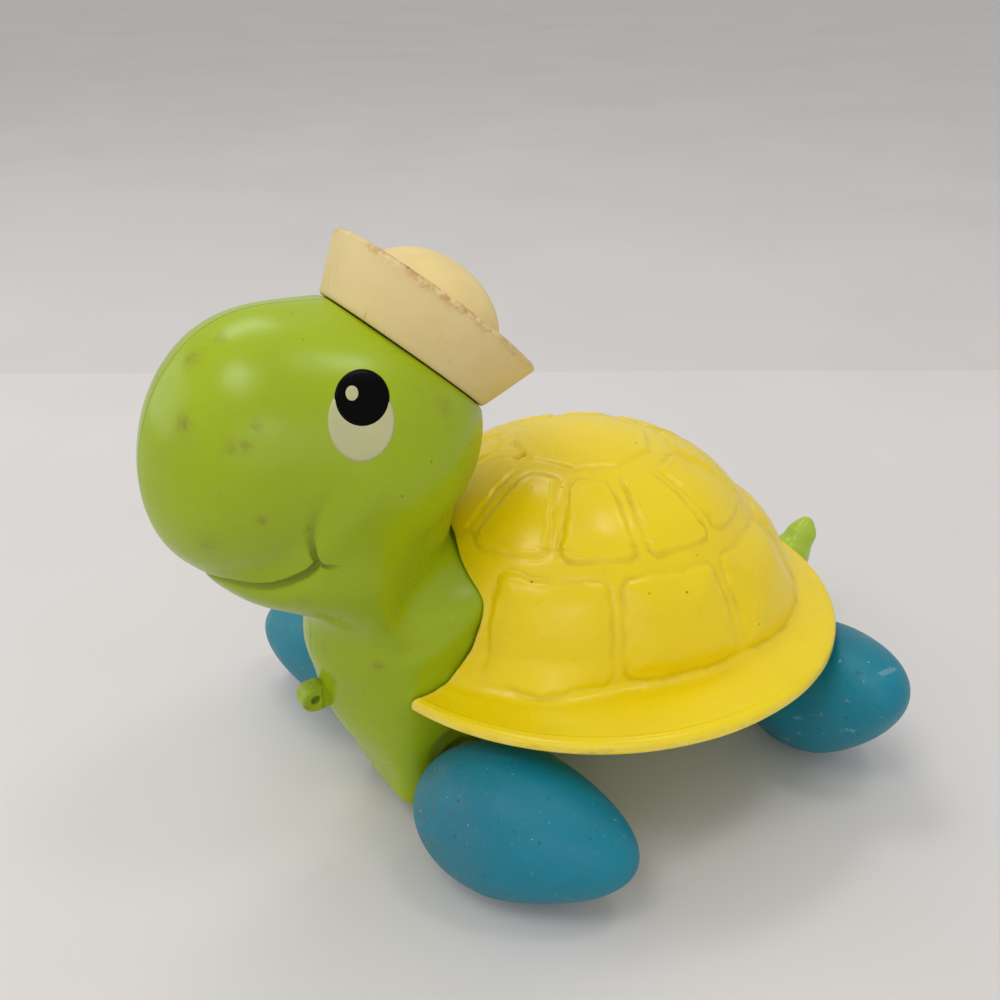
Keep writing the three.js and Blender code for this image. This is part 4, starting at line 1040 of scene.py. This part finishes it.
def yellow_vinyl():
    m = Nodes("yellow_vinyl")
    m.set(Specular_IOR_Level=0.4)
    base = m.ramp(m.noise(18, 3.0, 0.5), [(0.3, linear((229, 198, 0))), (0.7, linear((237, 209, 3)))])
    smear = m.ramp(m.noise(60, 5.0, 0.65, m.mapping(scale=(1, 1, 2.2))), [(0.56, 0.0), (0.78, 1.0)])
    base = m.mix(m.math("MULTIPLY", smear, 0.20), base, linear((196, 166, 54)))
    dirt = m.math("MULTIPLY", m.attr("groove"), m.ramp(m.noise(130, 4.0, 0.6), [(0.42, 0.0), (0.68, 1.0)]))
    base = m.mix(m.math("MULTIPLY", dirt, 0.42), base, linear((166, 134, 30)))
    streak = m.noise(190, 5.0, 0.7, m.mapping(scale=(1, 1, 3.5)))
    scuff = m.math("MULTIPLY", m.attr("rim"), m.ramp(streak, [(0.38, 0.15), (0.62, 1.0)]))
    base = m.mix(m.math("MULTIPLY", scuff, 0.62), base, linear((240, 220, 120)))
    grey = m.math("MULTIPLY", m.attr("rim"), m.ramp(m.noise(110, 5.0, 0.7, m.mapping(loc=(0.3, 0.9, 0.1), scale=(1, 1, 2.5))), [(0.54, 0.0), (0.72, 1.0)]))
    base = m.mix(m.math("MULTIPLY", grey, 0.55), base, linear((158, 140, 92)))
    bare = m.math("MULTIPLY", m.attr("cut"), m.ramp(m.noise(340, 4.0, 0.6), [(0.40, 0.0), (0.58, 1.0)]))
    base = m.mix(m.math("MULTIPLY", bare, 0.65), base, linear((240, 222, 128)))
    specks = m.ramp(m.voronoi(150), [(0.045, 1.0), (0.075, 0.0)])
    rare = m.ramp(m.noise(45, 2.0, 0.5, m.mapping(loc=(0.7, 0.1, 0.3))), [(0.56, 0.0), (0.62, 1.0)])
    base = m.mix(m.math("MULTIPLY", specks, m.math("MULTIPLY", rare, 0.8)), base, linear((92, 74, 26)))
    m.color(base)
    m.roughness(m.math("ADD", m.ramp(m.noise(80, 4.0, 0.6), [(0.3, 0.24), (0.7, 0.32)]), m.math("MULTIPLY", scuff, 0.2)))
    cracks = m.ramp(m.voronoi(62, feature="DISTANCE_TO_EDGE"), [(0.0, 1.0), (0.035, 0.0)])
    some = m.ramp(m.noise(24, 2.0, 0.5, m.mapping(loc=(0.2, 0.6, 0.4))), [(0.56, 0.0), (0.66, 1.0)])
    height = m.math("SUBTRACT", m.noise(300, 4.0, 0.55), m.math("MULTIPLY", cracks, m.math("MULTIPLY", some, 0.5)))
    m.bump(height, 0.08, 0.0005)
    return m.mat


def blue_vinyl(index=0):
    m = Nodes("blue_vinyl_%d" % index)
    m.set(Specular_IOR_Level=0.32)
    off = m.mapping(loc=(0.13 * index, 0.29 * index, 0.07 * index))
    far = m.mapping(loc=(0.4 + 0.1 * index, 0.2, 0.9))
    base = m.ramp(m.noise(22, 3.0, 0.5, off), [(0.3, linear((4, 110, 131))), (0.7, linear((10, 124, 145)))])
    cloud = m.ramp(m.noise(70, 6.0, 0.72, off), [(0.36, 0.0), (0.66, 1.0)])
    dust = m.math("MULTIPLY", m.attr("dust"), cloud)
    base = m.mix(m.math("MULTIPLY", dust, 0.62), base, linear((80, 122, 132)))
    brown = m.math("MULTIPLY", m.attr("dust"), m.ramp(m.noise(240, 5.0, 0.7, far), [(0.50, 0.0), (0.70, 1.0)]))
    base = m.mix(m.math("MULTIPLY", brown, 0.45), base, linear((84, 92, 84)))
    pale = m.ramp(m.noise(620, 3.0, 0.6, off), [(0.685, 0.0), (0.73, 1.0)])
    base = m.mix(m.math("MULTIPLY", pale, 0.65), base, linear((156, 180, 184)))
    pits = m.ramp(m.noise(420, 3.0, 0.6, far), [(0.67, 0.0), (0.73, 1.0)])
    base = m.mix(m.math("MULTIPLY", pits, 0.65), base, linear((22, 52, 62)))
    line = m.ramp(m.noise(160, 3.0, 0.55, m.mapping(scale=(0.10, 1.3, 1.3), rot=(0.4, 0.9, 0.7 + index))), [(0.68, 0.0), (0.71, 1.0)])
    base = m.mix(m.math("MULTIPLY", line, 0.35), base, linear((140, 168, 174)))
    m.color(base)
    m.roughness(m.math("ADD", m.ramp(m.noise(90, 5.0, 0.6, off), [(0.3, 0.36), (0.7, 0.52)]), m.math("MULTIPLY", dust, 0.25)))
    deep = m.math("ADD", m.math("MULTIPLY", pits, 0.8), m.math("MULTIPLY", line, 0.5))
    m.bump(m.math("SUBTRACT", m.noise(380, 5.0, 0.6, off), deep), 0.22, 0.0006)
    return m.mat


def hat_vinyl():
    m = Nodes("hat_vinyl")
    m.set(Specular_IOR_Level=0.4)
    base = m.ramp(m.noise(26, 3.0, 0.5), [(0.3, linear((213, 189, 129))), (0.7, linear((225, 203, 144)))])
    base = m.mix(m.math("MULTIPLY", m.attr("top"), 0.6), base, linear((240, 214, 140)))
    grime = m.ramp(m.noise(60, 5.0, 0.65), [(0.50, 0.0), (0.76, 1.0)])
    base = m.mix(m.math("MULTIPLY", grime, 0.28), base, linear((196, 164, 104)))
    rough = m.ramp(m.noise(330, 5.0, 0.7), [(0.42, 0.0), (0.58, 1.0)])
    patchy = m.ramp(m.noise(46, 3.0, 0.6, m.mapping(loc=(0.15, 0.85, 0.35))), [(0.38, 0.12), (0.60, 1.0)])
    worn = m.math("MULTIPLY", m.attr("brim"), m.math("MULTIPLY", rough, patchy))
    base = m.mix(m.math("MULTIPLY", worn, 0.78), base, linear((176, 122, 58)))
    chips = m.math("MULTIPLY", m.attr("brim"), m.ramp(m.noise(150, 4.0, 0.65, m.mapping(loc=(0.6, 0.2, 0.4))), [(0.60, 0.0), (0.66, 1.0)]))
    base = m.mix(m.math("MULTIPLY", chips, 0.85), base, linear((96, 58, 28)))
    flat = m.node("ShaderNodeCombineXYZ")
    m.link(m.math("ADD", m.attr("round"), m.math("MULTIPLY", m.attr("up"), 0.35)), flat.inputs[0])
    m.link(m.math("MULTIPLY", m.attr("up"), 0.10), flat.inputs[1])
    scratch = m.ramp(m.noise(620, 2.0, 0.5, flat.outputs[0]), [(0.635, 0.0), (0.68, 1.0)])
    low = m.math("MULTIPLY", scratch, m.math("MULTIPLY", m.attr("foot"), m.ramp(m.noise(70, 2.0, 0.5), [(0.44, 0.0), (0.60, 1.0)])))
    base = m.mix(m.math("MULTIPLY", low, 0.75), base, linear((150, 112, 62)))
    m.color(base)
    m.roughness(m.math("ADD", m.ramp(m.noise(80, 4.0, 0.6), [(0.3, 0.42), (0.7, 0.55)]), m.math("MULTIPLY", worn, 0.3)))
    m.bump(m.math("SUBTRACT", m.noise(260, 4.0, 0.6), m.math("ADD", m.math("MULTIPLY", worn, 0.9), m.math("MULTIPLY", low, 0.5))), 0.16, 0.0006)
    return m.mat


def simple(name, rgb, rough, metal=0.0, var=0.06, grain=300, shine=0.5):
    m = Nodes(name)
    m.set(Metallic=metal, Specular_IOR_Level=shine)
    a, b = linear(rgb), linear(tuple(int(c * (1 - 2 * var)) for c in rgb))
    base = m.ramp(m.noise(40, 4.0, 0.6), [(0.35, b), (0.65, a)])
    tiny = m.ramp(m.noise(900, 3.0, 0.6), [(0.70, 0.0), (0.76, 1.0)])
    base = m.mix(m.math("MULTIPLY", tiny, 0.4), base, linear(tuple(int(c * 0.66 + 4) for c in rgb)))
    m.color(base)
    m.roughness(m.ramp(m.noise(120, 4.0, 0.6), [(0.3, rough * 0.85), (0.7, min(1.0, rough * 1.2))]))
    m.bump(m.noise(grain, 3.0, 0.5), 0.06, 0.0003)
    return m.mat


def stage_mat(name, a, b):
    m = Nodes(name)
    m.color(m.ramp(m.noise(6, 3.0, 0.5), [(0.3, linear(a)), (0.7, linear(b))]))
    m.set(Roughness=0.85, Specular_IOR_Level=0.2)
    return m.mat


def dress(ob, mat, body, slot, *nodes):
    ob.data.materials.clear()
    ob.data.materials.append(mat)
    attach(ob, body)
    if nodes:
        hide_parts(*nodes)
    return ob


GREEN, YELLOW, HATM = green_plastic(), yellow_vinyl(), hat_vinyl()
TAILM = green_plastic("tail_green", 1)
STEEL = simple("bright_steel", (186, 188, 192), 0.28, 1.0)
HARD = simple("hub_plastic", (217, 214, 202), 0.42)
NYLON = simple("bush_nylon", (230, 226, 214), 0.46)
WHITE = simple("eye_white", (184, 182, 132), 0.36, 0.0, 0.02)
BLACK = simple("eye_black", (4, 4, 4), 0.24, 0.0, 0.1, 300, 0.06)

# -------------------------------------------------------------------------- pieces
left, right = build_body()
dress(left, GREEN, "body", "body_green", "body_left")
dress(right, GREEN, "body", "body_green", "body_right")
dress(build_shell(), YELLOW, "body", "carapace_yellow", "carapace")
dress(build_hat(), HATM, "body", "hat_cream", "hat")
dress(build_tow_eye(), GREEN, "body", "body_green", "tow_eye")
dress(build_tail(), TAILM, "body", "body_green", "tail")
for hand, side in (("left", 1), ("right", -1)):
    dress(patch("eye_white_" + hand, side, (361.2, 421.0), (33.5, 41.0), 0.10), WHITE, "body", "body_green")
    dress(patch("pupil_" + hand, side, (362.0, 398.0), (27.6, 28.9), 0.17), BLACK, "body", "body_green")
    dress(patch("glint_" + hand, side, (351.8, 393.3), (7.3, 8.6), 0.22, 6, 48), WHITE, "body", "body_green")
count = 0
for end in ("front", "rear"):
    w = end + "_wheelset"
    ax = turned("steel_axle_" + end, [(0, -43.6), (1.45, -43.6), (1.75, -43.3), (1.75, 43.3), (1.45, 43.6), (0, 43.6)], 1, end)
    dress(ax, STEEL, w, "axle_steel", "axle_" + end)
    for hand, side in (("left", 1), ("right", -1)):
        dress(build_foot(end, hand), blue_vinyl(count), w, "foot_blue", "foot_%s_%s" % (end, hand))
        count += 1
        hub = turned("hub_insert_%s_%s" % (end, hand), [(0, 47.2), (6.3, 47.2), (6.9, 46.4), (6.9, 27.7), (8.8, 27.7), (9.0, 27.5), (9.0, 25.4), (8.8, 25.2), (2.05, 25.2), (2.05, 44.2), (0, 44.2)], side, end)
        dress(hub, HARD, w, "hub_plastic", "hub_%s_%s" % (end, hand))
        washer = turned("steel_washer_%s_%s" % (end, hand), [(2.1, 24.15), (5.3, 24.15), (5.4, 24.25), (5.4, 24.8), (5.3, 24.9), (2.1, 24.9)], side, end)
        dress(washer, STEEL, w, "axle_steel", "washer_%s_%s" % (end, hand))
        bush = turned("axle_bush_%s_%s" % (end, hand), [(2.1, 17.5), (4.2, 17.5), (4.2, 22.85), (5.9, 22.85), (6.0, 22.95), (6.0, 23.75), (5.9, 23.85), (2.1, 23.85)], side, end)
        dress(bush, NYLON, "body", "bush_nylon", "bush_%s_%s" % (end, hand))

# ------------------------------------------------------------------ camera and stage
yaw = VIEW_YAW
eye = (VIEW_AT + np.array([X_SHIFT, 0, 0])) * MM
w, r2, d2 = VIEW_W, VIEW_R, VIEW_D
cam = bpy.data.cameras.new("camera")
cam.sensor_width = 36.0
cam.lens = 36.0 * VIEW_F / 1000.0
cam.clip_start, cam.clip_end = 0.01, 20.0
cam_ob = bpy.data.objects.new("camera", cam)
bpy.context.scene.collection.objects.link(cam_ob)
cam_ob.matrix_world = Matrix([(r2[0], -d2[0], -w[0], eye[0]), (r2[1], -d2[1], -w[1], eye[1]), (r2[2], -d2[2], -w[2], eye[2]), (0, 0, 0, 1)])
bpy.context.scene.camera = cam_ob


def plane(name, pts, mat):
    me = bpy.data.meshes.new(name)
    me.from_pydata(pts, [], [tuple(range(len(pts)))])
    ob = bpy.data.objects.new(name, me)
    bpy.context.scene.collection.objects.link(ob)
    me.materials.append(mat)
    return ob


FLOOR = stage_mat("pale_floor", (214, 210, 207), (219, 215, 212))
FAR = stage_mat("far_floor", (208, 204, 201), (212, 208, 205))
# the ground changes tone behind the toy, square to the view, with nothing upright that would hide the toy from behind
ahead = np.array([math.cos(yaw), math.sin(yaw)])
foot = eye[:2] + 0.748 * ahead
span = np.array([math.sin(yaw), -math.cos(yaw)]) * 6.0
plane("floor", [(*(foot + span), 0), (*(foot - span), 0), (*(foot - span - 6 * ahead), 0), (*(foot + span - 6 * ahead), 0)], FLOOR)
plane("far_floor", [(*(foot - span), 0), (*(foot + span), 0), (*(foot + span + 6 * ahead), 0), (*(foot - span + 6 * ahead), 0)], FAR)

world = bpy.data.worlds.new("studio")
world.use_nodes = True
world.node_tree.nodes["Background"].inputs["Color"].default_value = (0.97, 0.98, 1.0, 1)
world.node_tree.nodes["Background"].inputs["Strength"].default_value = 0.65
bpy.context.scene.world = world
bpy.context.scene.view_settings.view_transform = "Standard"


def area(name, direction, distance, size, power, color=(1, 1, 1)):
    li = bpy.data.lights.new(name, "AREA")
    li.shape = "RECTANGLE"
    li.size, li.size_y = size
    li.energy = power
    li.color = color
    ob = bpy.data.objects.new(name, li)
    bpy.context.scene.collection.objects.link(ob)
    aim = Vector((0.02, 0.0, 0.10))
    u = Vector(direction).normalized()
    ob.location = aim + u * distance
    ob.rotation_euler = (-u).to_track_quat("-Z", "Y").to_euler()
    return ob


area("ceiling_front", (0.46, 0.24, 0.86), 1.35, (0.42, 0.42), 3.0, (1.0, 0.985, 0.96))
area("ceiling_far", (0.03, -0.39, 0.92), 1.35, (0.62, 0.24), 2.7, (1.0, 0.99, 0.97))
area("ceiling_near", (-0.22, 0.26, 0.94), 1.35, (0.24, 0.24), 1.4)
area("side_fill", (0.80, -0.52, 0.34), 1.30, (0.9, 0.7), 2.8)
area("front_fill", (0.40, 0.82, 0.22), 1.60, (1.5, 0.9), 2.6)
area("front_lamp", (0.42, 0.80, 0.44), 1.60, (0.34, 0.26), 0.9)
